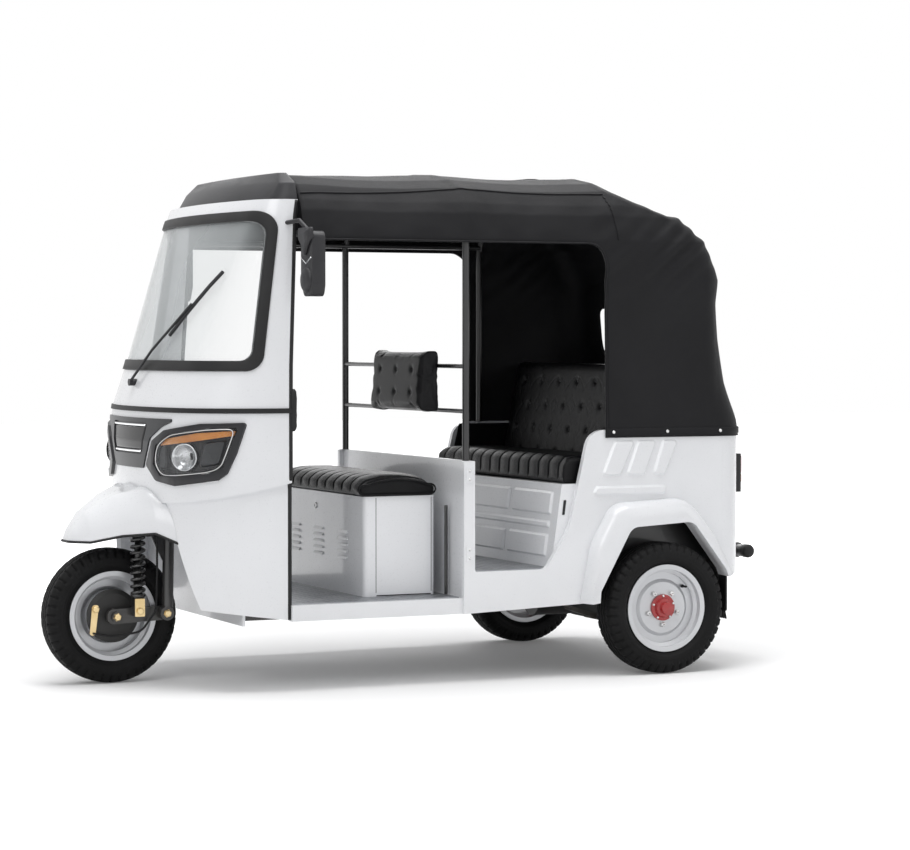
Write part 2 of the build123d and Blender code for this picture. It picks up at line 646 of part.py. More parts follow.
def rear_floor():
    pan = box(RISER_FOOT - 18, PARTITION - GAP, -BENCH_HALF, BENCH_HALF, REAR_FLOOR_Z - 16, REAR_FLOOR_Z)
    legs = [box(s - 20, s + 20, y - 18, y + 18, FLOOR_Z - 16 - GAP, REAR_FLOOR_Z - 16)
            for s in (RISER_FOOT + 102, PARTITION - 45) for y in (-RAIL_Y, RAIL_Y)]
    return [fuse([pan] + legs)]


def crease_half(above, gap=0.0):
    """Everything above or below the slanted crease line of the nose."""
    s0, s1 = CAB_REAR - 100, WHEELBASE + 100
    z0, z1 = (CREASE_REAR_Z - CREASE_SLOPE * (s - CAB_REAR) + gap for s in (s0, s1))
    far = 1300 if above else 100
    return side_prism(((s0, z0), (s1, z1), (s1, far), (s0, far)), -900, 900)


# Mudguard sections: place ahead of the axle, half width, top, edge
MUDGUARD_ROWS = (
    (166.0, 40.0, 2 * TYRE_R + 44, 2 * TYRE_R + 30),
    (150.0, 68.0, 2 * TYRE_R + 80, 2 * TYRE_R + 30),
    (105.0, 118.0, 2 * TYRE_R + 145, 2 * TYRE_R + 30),
    (10.0, 202.0, 2 * TYRE_R + 210, 2 * TYRE_R + 56),
    (-84.0, 296.0, 2 * TYRE_R + 243, 2 * TYRE_R + 68),
    (-160.0, 372.0, 2 * TYRE_R + 250, 2 * TYRE_R + 30),
)
GUARD_T = 5.0
WELL_HALF = 354.0
WELL_Z = 2 * TYRE_R + 45.0
WELL_SLOPE = 0.43
WELL_FOOT = 200.0


def mudguard_solid(inset, drop):
    wires = []
    for ahead, half, top, edge in MUDGUARD_ROWS:
        x, h, t, e = at(WHEELBASE + ahead), half - inset, top - inset, edge - drop
        if ahead == MUDGUARD_ROWS[0][0]:
            x -= inset
        if ahead == MUDGUARD_ROWS[-1][0]:
            x -= inset
        shoulder = e + (t - e) * 0.62
        wires.append(Wire([
            Edge.make_line(Vector(x, -h, e), Vector(x, h, e)),
            Edge.make_three_point_arc(Vector(x, h, e), Vector(x, h * 0.86, shoulder),
                                      Vector(x, h * 0.3, t - h * 0.06)),
            Edge.make_line(Vector(x, h * 0.3, t - h * 0.06), Vector(x, 0, t)),
            Edge.make_line(Vector(x, 0, t), Vector(x, -h * 0.3, t - h * 0.06)),
            Edge.make_three_point_arc(Vector(x, -h * 0.3, t - h * 0.06), Vector(x, -h * 0.86, shoulder),
                                      Vector(x, -h, e)),
        ]))
    return Solid.make_loft(wires, ruled=True)


def leg_shield():
    skin = cowl_shell(LEG_ROWS, 0.0, COWL_WALL) & crease_half(False, -GAP)
    low = WELL_HALF + (WELL_Z - WELL_FOOT) * WELL_SLOPE
    half = ((low, WELL_FOOT), (WELL_HALF, WELL_Z), (WELL_HALF - 36, WELL_Z + 30, 10),
            (WELL_HALF - 118, WELL_Z + 106, 24))
    well = front_prism(half + tuple((-p[0],) + p[1:] for p in reversed(half)), TOE_STATION + 60,
                       WHEELBASE + 80)
    s0, s1 = CAB_REAR - 60, WHEELBASE
    z0, z1 = (SKIRT_Z + SKIRT_SLOPE * (s - CAB_REAR) for s in (s0, s1))
    skirt = side_prism(((s0, z0), (s1, z1), (s1, WELL_FOOT), (s0, WELL_FOOT)), -900, 900)
    return [cut(skin, well, skirt)]


def nose_panel():
    skin = cowl_shell(NOSE_ROWS, 0.0, COWL_WALL) & crease_half(True)
    lamp = lamp_prism(BEZEL)
    grille = front_prism(GRILLE, WHEELBASE - 200, WHEELBASE)
    return [cut(skin, lamp, mirrored(lamp), grille)]


def front_mudguard():
    guard = cut(mudguard_solid(0.0, 0.0), mudguard_solid(GUARD_T, 4.0))
    legs = cowl_solid(LEG_ROWS, -GAP, tail=200.0) & crease_half(False)
    nose = cowl_solid(NOSE_ROWS, -GAP, tail=200.0) & crease_half(True, -1.0)
    guard = cut(guard, legs, nose)
    return [max(guard.solids(), key=lambda s: s.volume)]


def screen_surround():
    opening = side_prism(screen_outline(0), -800, 800)
    skin = cut(cowl_shell(SCREEN_ROWS, 0.0, COWL_WALL), opening)
    head = SCREEN_ROWS[-1]
    ledge = [(head[0] - LIP_T, *head[1:]), head]
    lip = cowl_solid(ledge, COWL_WALL / 2) - cowl_solid(ledge, LIP_W, tail=30.0, over=2.0)
    return [fuse([skin, lip])]


def screen_seal():
    ring = cut(side_prism(screen_outline(GAP), -800, 800), side_prism(screen_outline(38), -800, 800))
    return [cowl_shell(SCREEN_ROWS, -7.0, COWL_WALL) & ring]


def windscreen():
    return [cowl_shell(SCREEN_ROWS, 2.0, 7.0) & side_prism(screen_outline(38 + GAP), -800, 800)]


def belt_trim():
    return [cowl_shell(BELT_ROWS, -5.0, COWL_WALL)]


def nose_slab(outer, inner):
    return cowl_shell(NOSE_ROWS, outer, inner)


def grown(points, margin):
    """Outline moved outward by a margin, measured from its middle."""
    cu = sum(p[0] for p in points) / len(points)
    cv = sum(p[1] for p in points) / len(points)
    out = []
    for u, v, r in points:
        d = hypot(u - cu, v - cv)
        out.append((u + (u - cu) / d * margin, v + (v - cv) / d * margin, r))
    return tuple(out)


def headlamp_bezels():
    ring = cut(lamp_prism(grown(BEZEL, -GAP * 2)), lamp_prism(LENS))
    return both(nose_slab(-12.0, 30.0) & ring)


def headlamp_lenses():
    return both(nose_slab(-9.0, -5.0) & lamp_prism(grown(LENS, -GAP * 2)))


def headlamp_reflectors():
    return both(nose_slab(22.0, 29.0) & lamp_prism(grown(LENS, -GAP * 2)))


def indicator_lenses():
    return both(nose_slab(2.0, 21.5) & lamp_prism(AMBER))


def grille_panel():
    keep_off = lamp_prism(grown(BEZEL, GAP))
    plate = nose_slab(-6.0, COWL_WALL) & front_prism(grown(GRILLE, -GAP * 2), WHEELBASE - 200, WHEELBASE)
    plate = cut(plate, keep_off, mirrored(keep_off))
    recess = nose_slab(-20.0, 2.0) & front_prism(BADGE, WHEELBASE - 200, WHEELBASE)
    return [max(cut(plate, recess).solids(), key=lambda s: s.volume)]


def roof_visor():
    """Hood over the screen's head, closed on top and open below and behind."""
    inner = [(z - VISOR_T, *row) for z, *row in VISOR_ROWS]
    return [cut(cowl_solid(VISOR_ROWS), cowl_solid(inner, VISOR_T, tail=30.0))]


def toe_board():
    return [front_prism(((-CAB_HALF + 66, FLOOR_UNDER_Z - 16), (CAB_HALF - 66, FLOOR_UNDER_Z - 16),
                         (CAB_HALF - 66, TOE_TOP),
                         (-CAB_HALF + 66, TOE_TOP)), TOE_STATION, TOE_STATION + 10)]


def brake_pedal():
    foot = FLOOR_Z + PLATE + GAP
    s = CAB_REAR + 70
    post = box(s, s + 16, -176, -152, foot, foot + 40)
    arm = side_prism(((s + 2, foot + 30), (s + 14, foot + 30), (s - 26, foot + 92), (s - 38, foot + 92)),
                     -170, -158)
    pad = side_prism(((s - 42, foot + 74, 3), (s - 32, foot + 80, 3), (s - 54, foot + 124, 3),
                      (s - 64, foot + 118, 3)), -196, -132)
    return [fuse([post, arm, pad])]


def wiper():
    def near(y, z, off):
        return (at(cowl_station(y, z)) + off, y, z)

    pivot = rod(near(-40, 1112, -4), near(-40, 1112, 26), 13)
    arm = chain([near(-40, 1112, 22), near(90, 1230, 24), near(300, 1400, 24)], 5)
    blade = chain([near(184, 1287, 12), near(250, 1352, 12), near(310, 1410, 12), near(372, 1466, 14),
                   near(431, 1514, 16)], 7)
    skin = cowl_solid(SCREEN_ROWS, -GAP)
    seal = screen_seal()[0]
    return [max(cut(fuse([pivot, arm, blade]), skin, seal).solids(), key=lambda s: s.volume)]


MIRROR_S = WHEELBASE - 540.0
MIRROR_Y = CAB_HALF + 102.0
MIRROR_HALF = 54.0
MIRROR_LOW = 1424.0
MIRROR_HIGH = 1656.0
MIRROR_WALL = 7.0


def mirror_outline(inset):
    """Tall housing, cut back at its lower corners; inset shrinks it all round."""
    inner, outer = MIRROR_Y - MIRROR_HALF + inset, MIRROR_Y + MIRROR_HALF - inset
    low, high = MIRROR_LOW + inset, MIRROR_HIGH - inset
    r = 26 - inset
    return ((inner, low + 58, r), (inner + 30, low, r), (outer - 12, low, r), (outer, low + 40, r),
            (outer, high, r + 4), (inner, high, r))


def mirrors():
    shell = front_prism(mirror_outline(0), MIRROR_S - 22, MIRROR_S + 28)
    pocket = front_prism(mirror_outline(MIRROR_WALL), MIRROR_S - 24, MIRROR_S - 14)
    arm = chain([(at(CAB_REAR + 4), CAB_HALF - 40, 1690), (at(CAB_REAR - 18), CAB_HALF + 30, 1696),
                 (at(MIRROR_S + 6), MIRROR_Y - 16, MIRROR_HIGH - 6)], 8)
    arm = cut(arm, cowl_solid(SCREEN_ROWS, -GAP))
    arm = max(arm.solids(), key=lambda s: s.center().Y)
    return both(cut(fuse([shell, arm]), pocket))


def mirror_glasses():
    return both(front_prism(mirror_outline(MIRROR_WALL + GAP), MIRROR_S - 18, MIRROR_S - 14 - GAP))


LOUVRE_Y = (-240.0, 0.0, 240.0)
LOUVRE_ROWS = 5
LOUVRE_PITCH = 24.0
LOUVRE_TOP = 560.0
LOUVRE_HALF = 46.0
BOX_CORNER = 20.0


def seat_box():
    foot = FLOOR_Z + PLATE + GAP
    shell = cut(box(SEAT_REAR, SEAT_FRONT, -SEAT_HALF, SEAT_HALF, foot, SEAT_TOP, BOX_CORNER),
                box(SEAT_REAR + SEAT_SHEET, SEAT_FRONT - SEAT_SHEET, -SEAT_HALF + SEAT_SHEET,
                    SEAT_HALF - SEAT_SHEET,
                    foot + SEAT_SHEET, SEAT_TOP + 5, BOX_CORNER - SEAT_SHEET))
    hoods = []
    for y in LOUVRE_Y:
        for i in range(LOUVRE_ROWS):
            z = LOUVRE_TOP - i * LOUVRE_PITCH
            hoods.append(side_prism(((SEAT_FRONT - 3, z - 14), (SEAT_FRONT + 9, z - 14),
                                     (SEAT_FRONT - 3, z)),
                                    y - LOUVRE_HALF, y + LOUVRE_HALF))
    return [fuse([shell] + hoods)]


def battery_pack():
    foot = FLOOR_Z + PLATE + GAP + SEAT_SHEET
    return [box(SEAT_REAR + 24, SEAT_FRONT - 24, -SEAT_HALF + 50, SEAT_HALF - 50, foot, foot + 230, 6)]


HINGE_Z = SEAT_TOP + CUSHION_T / 2
HINGE_STATION = SEAT_REAR + 2.0
HINGE_R = 8.0


def cushion_outline(front, rear, low, high, r):
    return ((rear, low, r / 3), (front, low, r / 3), (front, high, r), (rear, high, r))


def driver_cushion():
    pad = side_prism(cushion_outline(SEAT_FRONT + 22, SEAT_REAR - 2, SEAT_TOP + GAP, SEAT_TOP + CUSHION_T,
                                     24),
                     -SEAT_HALF - 10, SEAT_HALF + 10)
    return [cut(pad,
                *[rod((at(HINGE_STATION), y - 40, HINGE_Z), (at(HINGE_STATION), y + 40, HINGE_Z),
                      HINGE_R + RUN)
                       for y in (-300, 300)],
                *[box(HINGE_STATION - 16, HINGE_STATION + 16, y - 26, y + 26, SEAT_TOP - 5,
                      HINGE_Z + 16) for y in (-300, 300)])]


def seat_hinges():
    out = []
    for y in (-300, 300):
        pin = rod((at(HINGE_STATION), y - 38, HINGE_Z), (at(HINGE_STATION), y + 38, HINGE_Z), HINGE_R)
        stand = box(HINGE_STATION - 2, HINGE_STATION + 6, y - 20, y + 20, SEAT_TOP + GAP, HINGE_Z)
        out.append(fuse([pin, stand]))
    return out


PAD_FRONT = PILLAR_STATION + 93.0
PAD_REAR = PILLAR_STATION + BACK_BAR_R + GAP
PAD_LEAN = 21.0
PAD_Y = (-120.0, 372.0)
PAD_Z = (993.0, 1237.0)


def driver_back_pad():
    low, high = PAD_Z
    return [side_prism(((PAD_REAR, low, 6), (PAD_FRONT, low, 20), (PAD_FRONT - PAD_LEAN, high, 24),
                        (PAD_REAR, high, 12)), *PAD_Y)]


def partition():
    panel = box(PARTITION, PARTITION + PARTITION_T, -SIDE_HALF + SIDE_WALL + GAP,
                SIDE_HALF - SIDE_WALL - GAP,
                REAR_FLOOR_Z - 16, PARTITION_TOP)
    skirt = box(PARTITION + PARTITION_T - 8, PARTITION + PARTITION_T, -SIDE_HALF + SIDE_WALL + GAP,
                SIDE_HALF - SIDE_WALL - GAP,
                FLOOR_Z - 16, REAR_FLOOR_Z)
    return [fuse([panel, skirt])]


# Roof

BOW_REAR = 205.0
RAIL_Z = 1652.0
RAIL_FRONT = WHEELBASE - 522.6


def bow(station, foot):
    knees = [(PILLAR_Y, foot), (PILLAR_Y, 1640), (PILLAR_Y - 48, 1760), (PILLAR_Y - 168, 1815)]
    left = [(at(station), y, z) for y, z in knees]
    right = [(x, -y, z) for x, y, z in reversed(left)]
    return chain(left + right, TUBE_R)


def roof_frame():
    pieces = [bow(PILLAR_STATION, PARTITION_TOP + GAP), bow(BOW_REAR, RIM_Z + GAP)]
    pieces += both(rod((at(BOW_REAR), PILLAR_Y - 10, RAIL_Z), (at(RAIL_FRONT), PILLAR_Y - 10, RAIL_Z), 11))
    pieces += [rod((at(PILLAR_STATION), -PILLAR_Y, z), (at(PILLAR_STATION), PILLAR_Y, z),
                   BACK_BAR_R) for z in BACK_BAR_Z]
    return [fuse(pieces)]


def canopy_wire(row, inset, ahead):
    z, back, half, corner, front = row
    x0, x1, h, r = at(-back) + inset, at(front) + ahead, half - inset, corner - inset

    def place(x, y):
        return Vector(x, y, z)

    return wire(((x1, -h), (x1, h), (x0, h, r), (x0, -h, r)), place)


def canopy_solid(inset, ahead, drop):
    rows = [list(row) for row in CANOPY_ROWS]
    if inset:
        rows[0][0] -= 20
        for row in rows[5:]:
            row[0] -= drop
    return Solid.make_loft([canopy_wire(row, inset, ahead) for row in rows], ruled=True)


DOOR_REAR = 238.0
DOOR_CORNER = 80.0
WINDOW = ((-424, 1199, 40), (424, 1199, 40), (424, 1404, 40), (-424, 1404, 40))


def canopy():
    shell = cut(canopy_solid(0.0, 0.0, 0.0), canopy_solid(CLOTH, 400.0, CLOTH))
    door = side_prism(((DOOR_REAR, RIM_Z - 40), (CANOPY_FRONT + 60, RIM_Z - 40), (CANOPY_FRONT + 60, HEM_Z),
                       (DOOR_REAR, HEM_Z, DOOR_CORNER)),
                      -900, 900)
    window = front_prism(WINDOW, -TAIL - 60, -180)
    return [cut(shell, door, window)]


# Rear body

def arch_points(points):
    return [(a * TYRE_R, TYRE_R + b * TYRE_R, r * TYRE_R) for a, b, r in points]


# Pressed ribs of the side panel: stations of the top edge's ends, then of the foot's
RIBS = ((204, 110, 262, 176), (106, 18, 156, 72), (-2, -76, 42, -16))
RIB_TOP = 890.0
RIB_FOOT = 754.0
PANEL_BAR = ((282, 720, 12), (-30, 720, 12), (-15, 680, 12), (302, 680, 12))


def drawn_in(points, d):
    """Convex outline with each side moved inward by d."""
    cu = sum(p[0] for p in points) / len(points)
    cv = sum(p[1] for p in points) / len(points)
    sides = []
    for (u, v, _), (nu, nv, _) in zip(points, points[1:] + points[:1]):
        length = hypot(nu - u, nv - v)
        a, b = (nv - v) / length, (u - nu) / length
        turn = 1 if a * (u - cu) + b * (v - cv) > 0 else -1
        sides.append((turn * a, turn * b, turn * (a * u + b * v) - d))
    out = []
    for (a, b, c), (e, f, g), (_, _, r) in zip(sides[-1:] + sides[:-1], sides, points):
        det = a * f - e * b
        out.append(((c * f - g * b) / det, (a * g - e * c) / det, r / 2))
    return tuple(out)


def pressed(points, foot, head):
    """Pressed-out panel: the outline on its foot plane, drawn in by the slope on its head plane."""
    return Solid.make_loft([wire(points, foot), wire(drawn_in(points, PRESS_SLOPE), head)], ruled=True)


def side_panel():
    arch = arch_points(ARCH_IN)
    outline = [(POST_FRONT, FLOOR_UNDER_Z), (POST_FRONT, PARTITION_TOP, 4),
               (PARTITION - GAP, PARTITION_TOP, 4),
               (PARTITION - GAP, REAR_FLOOR_Z, 10), (RISER_FOOT + 34, REAR_FLOOR_Z, 34),
               (RISER_FOOT - 64, 560, 200),
               (RISER_FOOT - 150, RIM_Z, 75), (-TAIL + TAIL_CORNER, RIM_Z), (-TAIL + TAIL_CORNER, TAIL_Z),
               (arch[-1][0], TAIL_Z)]
    outline += list(reversed(arch[:-1])) + [(arch[0][0] + 0.06 * TYRE_R, FLOOR_UNDER_Z + 20)]
    panel = side_prism(outline, SIDE_HALF - SIDE_WALL, SIDE_HALF)

    def on_panel(s, z):
        return Vector(at(s), SIDE_HALF - 1, z)

    def proud(s, z):
        return Vector(at(s), SIDE_HALF + PRESS_PROUD, z)

    ribs = [((t0, RIB_TOP, 12), (t1, RIB_TOP, 12), (f1, RIB_FOOT, 12), (f0, RIB_FOOT, 12)) for t0, t1, f0,
            f1 in RIBS]
    return fuse([panel] + [pressed(outline, on_panel, proud) for outline in ribs + [PANEL_BAR]])


def wheel_arch_flares():
    sections = []
    for share, out in FLARE_ROWS:
        points = [(a * share, b * share, r) for a, b, r in ARCH_OUT]
        y = SIDE_HALF + GAP + out
        sections.append(wire(arch_points(points), lambda s, z, y=y: Vector(at(s), y, z)))
    inner = arch_points(ARCH_IN)
    opening = side_prism(inner + [(inner[-1][0], 100), (inner[0][0], 100)], SIDE_HALF - 5, SIDE_HALF + 200)
    keep = cut(Solid.make_loft(sections, ruled=True), opening)
    return both(max(keep.solids(), key=lambda s: s.volume))


def wheel_houses():
    wall = SIDE_HALF - SIDE_WALL - GAP
    reach = 1.16 * TYRE_R
    inner = TRACK / 2 - REAR_TYRE_W / 2 - 38
    top = 2.4 * TYRE_R
    shell = cut(box(-HOUSE_REAR, reach + 10, inner, wall, TAIL_Z - 60, top),
                box(-HOUSE_REAR + SHEET, reach + 10 - SHEET, inner + SHEET, wall + 20, 100, top - SHEET),
                box(-70, 70, inner - 20, inner + 20, 100, 440))
    return both(shell)


def rear_panel():
    s0 = -TAIL + TAIL_CORNER - GAP
    h, r, w = SIDE_HALF, TAIL_CORNER, SIDE_WALL
    ring = ((s0, h), (-TAIL, h, r - GAP), (-TAIL, -h, r - GAP), (s0, -h), (s0, -h + w),
            (-TAIL + w, -h + w, r - w - GAP),
            (-TAIL + w, h - w, r - w - GAP), (s0, h - w))
    panel = top_prism(ring, TAIL_Z, RIM_Z)
    holes = [rod((at(-TAIL - 5), y, 600), (at(-TAIL + w + 5), y, 600), 3.5) for y in (-100, 100)]
    return [cut(panel, *holes)]


def bench():
    riser = side_prism(((RISER_FOOT, REAR_FLOOR_Z + PLATE + GAP), (RISER_HEAD, BENCH_Z),
                        (-HOUSE_REAR, BENCH_Z), (-HOUSE_REAR, BENCH_Z - 14),
                        (RISER_HEAD - 12, BENCH_Z - 14), (RISER_FOOT - 14, REAR_FLOOR_Z + PLATE + GAP)),
                       -BENCH_HALF, BENCH_HALF)
    lean = (RISER_FOOT - RISER_HEAD) / (BENCH_Z - REAR_FLOOR_Z - PLATE - GAP)

    def face(z):
        return RISER_FOOT - lean * (z - REAR_FLOOR_Z - PLATE - GAP)

    def on_riser(y, z):
        return Vector(at(face(z) - 2), y, z)

    def proud(y, z):
        return Vector(at(face(z) + PRESS_PROUD), y, z)

    pads = []
    for low, high, count in RISER_PADS:
        width = 2 * (BENCH_HALF - RISER_MARGIN) / count
        for i in range(count):
            y0 = -BENCH_HALF + RISER_MARGIN + i * width + RISER_SPACE / 2
            y1 = y0 + width - RISER_SPACE
            pads.append(pressed(((y0, low, 8), (y1, low, 8), (y1, high, 8), (y0, high, 8)), on_riser,
                                proud))
    return [fuse([riser] + pads)]


def passenger_cushion():
    rear = BACK_FOOT + 1
    lean = (BACK_FOOT - BACK_HEAD) / (BACK_TOP - BENCH_Z)
    rise = BENCH_TOP - BENCH_Z
    return [side_prism(((rear, BENCH_Z + GAP), (406, BENCH_Z + GAP, 10), (402, BENCH_TOP, 26),
                        (rear - lean * rise, BENCH_TOP, 8)),
                       -BENCH_HALF + 4, BENCH_HALF - 4)]


def passenger_backrest():
    return [side_prism(((BACK_FOOT, BENCH_Z + GAP), (BACK_HEAD, BACK_TOP, 24),
                        (BACK_HEAD - BACK_T, BACK_TOP, 20),
                        (BACK_FOOT - BACK_T, BENCH_Z + GAP)), -BENCH_HALF + 8, BENCH_HALF - 8)]


def tail_lamps():
    return both(box(-TAIL - 52, -TAIL - GAP, 402, 492, 675, 825, 14))


def rear_bumper():
    s = -REAR_REACH + BUMPER_R
    outer = BUMPER_HALF - BUMPER_END
    inner = outer - COLLAR_W
    tube = rod((at(s), -BUMPER_HALF, BUMPER_Z), (at(s), BUMPER_HALF, BUMPER_Z), BUMPER_R)
    collars = both(rod((at(s), inner, BUMPER_Z), (at(s), outer, BUMPER_Z), COLLAR_R))
    arms = both(box(s, -TAIL - GAP, inner + 4, outer - 4, BUMPER_Z - 17, BUMPER_Z + 17))
    return [fuse([tube] + collars + arms)]


def mudflaps():
    inner = TRACK / 2 - REAR_TYRE_W / 2 - 30
    flap = front_prism(((inner, 226, 10), (inner + 140, 226, 10), (inner + 140, TAIL_Z - 2),
                        (SIDE_HALF - SIDE_WALL - 14, TAIL_Z - 2),
                        (SIDE_HALF - SIDE_WALL - 14, 470), (inner, 470)), -HOUSE_REAR - 6 - GAP,
                       -HOUSE_REAR - GAP)
    return both(flap)


def build():
    nodes = {
        "chassis_frame": chassis(), "leaf_springs": leaf_springs(), "rear_axle": rear_axle(),
        "steering_head": steering_head(), "floor_pan": floor_pan(), "floor_plates": floor_plates(),
        "rear_floor": rear_floor(), "toe_board": toe_board(), "leg_shield": leg_shield(),
             "nose_panel": nose_panel(),
        "front_mudguard": front_mudguard(), "belt_trim": belt_trim(), "screen_surround": screen_surround(),
        "screen_seal": screen_seal(), "windscreen": windscreen(), "roof_visor": roof_visor(),
             "grille_panel": grille_panel(),
        "headlamp_bezels": headlamp_bezels(), "headlamp_lenses": headlamp_lenses(),
        "headlamp_reflectors": headlamp_reflectors(), "indicator_lenses": indicator_lenses(),
             "wiper": wiper(),
        "brake_pedal": brake_pedal(), "mirrors": mirrors(), "mirror_glasses": mirror_glasses(),
             "seat_box": seat_box(), "battery_pack": battery_pack(),
        "seat_hinges": seat_hinges(), "driver_cushion": driver_cushion(),
             "driver_back_pad": driver_back_pad(),
        "partition": partition(), "roof_frame": roof_frame(), "canopy": canopy(),
             "side_panel_left": [side_panel()],
        "side_panel_right": [mirrored(side_panel())], "wheel_arch_flares": wheel_arch_flares(),
        "wheel_houses": wheel_houses(), "rear_panel": rear_panel(), "bench": bench(),
        "passenger_cushion": passenger_cushion(), "passenger_backrest": passenger_backrest(),
             "tail_lamps": tail_lamps(),
        "rear_bumper": rear_bumper(), "mudflaps": mudflaps(), "fork": fork(),
             "suspension_link": suspension_link(),
        "shock": shock(), "brake_plate": brake_plate(), "brake_cable": brake_cable(),
             "handlebar": handlebar(), "grips": grips(),
        "instrument_pod": instrument_pod(),
    }
    nodes["front_tyre"], nodes["front_rim"] = front_wheel()
    for name, side in (("left", 1), ("right", -1)):
        for piece, shapes in rear_wheel(side).items():
            nodes["rear_%s_%s" % (piece, name)] = shapes
    return nodes


os.makedirs("parts", exist_ok=True)
for node, shapes in build().items():
    solids = [solid for shape in shapes for solid in shape.solids()]
    export_step(Compound(solids), "parts/%s.step" % node)
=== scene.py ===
"""Passenger auto rickshaw: finishes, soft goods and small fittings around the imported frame, in metres."""
import json
import math

import bmesh
import bpy
import numpy as np
from mathutils import Matrix, Vector


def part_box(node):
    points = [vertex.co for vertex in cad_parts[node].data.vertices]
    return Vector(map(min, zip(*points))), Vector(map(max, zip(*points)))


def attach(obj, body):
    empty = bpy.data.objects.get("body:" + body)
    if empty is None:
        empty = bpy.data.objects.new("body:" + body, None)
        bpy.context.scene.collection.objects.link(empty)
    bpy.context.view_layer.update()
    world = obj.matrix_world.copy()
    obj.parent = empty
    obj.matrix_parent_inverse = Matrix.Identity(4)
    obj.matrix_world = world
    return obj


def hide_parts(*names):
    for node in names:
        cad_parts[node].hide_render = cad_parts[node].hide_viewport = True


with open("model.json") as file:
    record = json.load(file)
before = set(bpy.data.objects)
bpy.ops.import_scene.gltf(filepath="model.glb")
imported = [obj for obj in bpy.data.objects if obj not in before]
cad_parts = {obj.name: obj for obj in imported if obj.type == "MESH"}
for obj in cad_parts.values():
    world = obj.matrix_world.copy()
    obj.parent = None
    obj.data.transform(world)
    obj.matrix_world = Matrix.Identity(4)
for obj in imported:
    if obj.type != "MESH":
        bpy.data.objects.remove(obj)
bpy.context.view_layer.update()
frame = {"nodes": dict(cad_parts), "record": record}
NODES = frame["nodes"]

# Places read from the frame
REAR_X = sum(c.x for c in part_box("rear_tyre_left")) / 2
FRONT_X = sum(c.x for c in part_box("front_tyre")) / 2
TYRE_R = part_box("front_tyre")[1].z / 2
SIDE_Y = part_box("rear_panel")[1].y
CAB_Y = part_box("nose_panel")[1].y


def sx(station):
    """X of a station measured ahead of the rear axle."""
    return REAR_X + station


def box_corners(node):
    """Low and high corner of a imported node."""
    return [np.array(corner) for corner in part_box(node)]


# Array helpers

def unit(v):
    return v / np.maximum(np.linalg.norm(v, axis=-1, keepdims=True), 1e-12)


def ramp(x, low, high):
    """Smooth step from 0 at low to 1 at high."""
    t = np.clip((x - low) / (high - low), 0, 1)
    return t * t * (3 - 2 * t)


def ring(radius, count, squash=1.0):
    """Circle profile, or an ellipse when squash differs from 1."""
    a = np.linspace(0, 2 * np.pi, count, endpoint=False)
    return np.stack([radius * np.cos(a), radius * squash * np.sin(a)], 1)


def slab(width, height, bevel):
    """Rectangle profile with cut corners, listed round its edge."""
    w, h, b = width / 2, height / 2, bevel
    half = np.array([(w, -h + b), (w, h - b), (w - b, h), (-w + b, h)])
    return np.concatenate([half, -half])


def through(points, count):
    """Smooth curve through points: cubic pieces whose end slopes are central differences."""
    p = np.asarray(points, float)
    span = np.concatenate([[0], np.cumsum(np.linalg.norm(np.diff(p, axis=0), axis=1))])
    slope = np.gradient(p, span, axis=0)
    t = np.linspace(0, span[-1], count)
    i = np.clip(np.searchsorted(span, t, side="right") - 1, 0, len(p) - 2)
    h = (span[i + 1] - span[i])[:, None]
    u = ((t - span[i])[:, None]) / h
    return ((2 * u ** 3 - 3 * u ** 2 + 1) * p[i] + (u ** 3 - 2 * u ** 2 + u) * h * slope[i]
            + (-2 * u ** 3 + 3 * u ** 2) * p[i + 1] + (u ** 3 - u ** 2) * h * slope[i + 1])


def quads(rows, cols, close_rows=False, close_cols=False):
    """Faces of a grid of rows by cols points, joined end to start where asked."""
    r = np.arange(rows if close_rows else rows - 1)[:, None]
    c = np.arange(cols if close_cols else cols - 1)[None, :]
    r2, c2 = (r + 1) % rows, (c + 1) % cols
    return np.stack([r * cols + c, r * cols + c2, r2 * cols + c2, r2 * cols + c], -1).reshape(-1, 4)


def carried(path, profile, up=(0, 0, 1), closed=False, scale=None):
    """Profile of (across, up) points carried along a path, squared to the path and to a fixed up."""
    path = np.asarray(path, float)
    step = np.roll(path, -1, 0) - np.roll(path, 1, 0) if closed else np.gradient(path, axis=0)
    t = unit(step)
    across = unit(np.cross(t, np.broadcast_to(np.asarray(up, float), t.shape)))
    lift = np.cross(across, t)
    size = np.ones(len(path)) if scale is None else np.asarray(scale, float)
    q = profile[None] * size[:, None, None]
    return path[:, None] + q[..., :1] * across[:, None] + q[..., 1:] * lift[:, None]


def capped(grid, closed=False):
    """Points and faces of a carried profile, with both ends shut unless the path is a loop."""
    rows, cols = grid.shape[:2]
    faces = quads(rows, cols, closed, True).tolist()
    if not closed:
        faces.append(list(range(cols))[::-1])
        faces.append(list(range((rows - 1) * cols, rows * cols)))
    return grid.reshape(-1, 3), faces


def turned(profile, centre, axis, count):
    """Profile of (along, radius) points turned round an axis through a centre; radius 0 closes an end."""
    axis = unit(np.asarray(axis, float))
    side = unit(np.cross(axis, (0.37, 0.11, 0.92)))
    other = np.cross(axis, side)
    a = np.linspace(0, 2 * np.pi, count, endpoint=False)
    rim = np.cos(a)[:, None] * side + np.sin(a)[:, None] * other
    p = np.asarray(profile, float)
    grid = np.asarray(centre, float) + p[:, None, :1] * axis + p[:, None, 1:] * rim[None]
    return grid.reshape(-1, 3), quads(len(p), count, False, True).tolist()


def as_lists(faces):
    """Faces as plain lists, whether they came as lists or as an array."""
    return faces.tolist() if hasattr(faces, "tolist") else faces


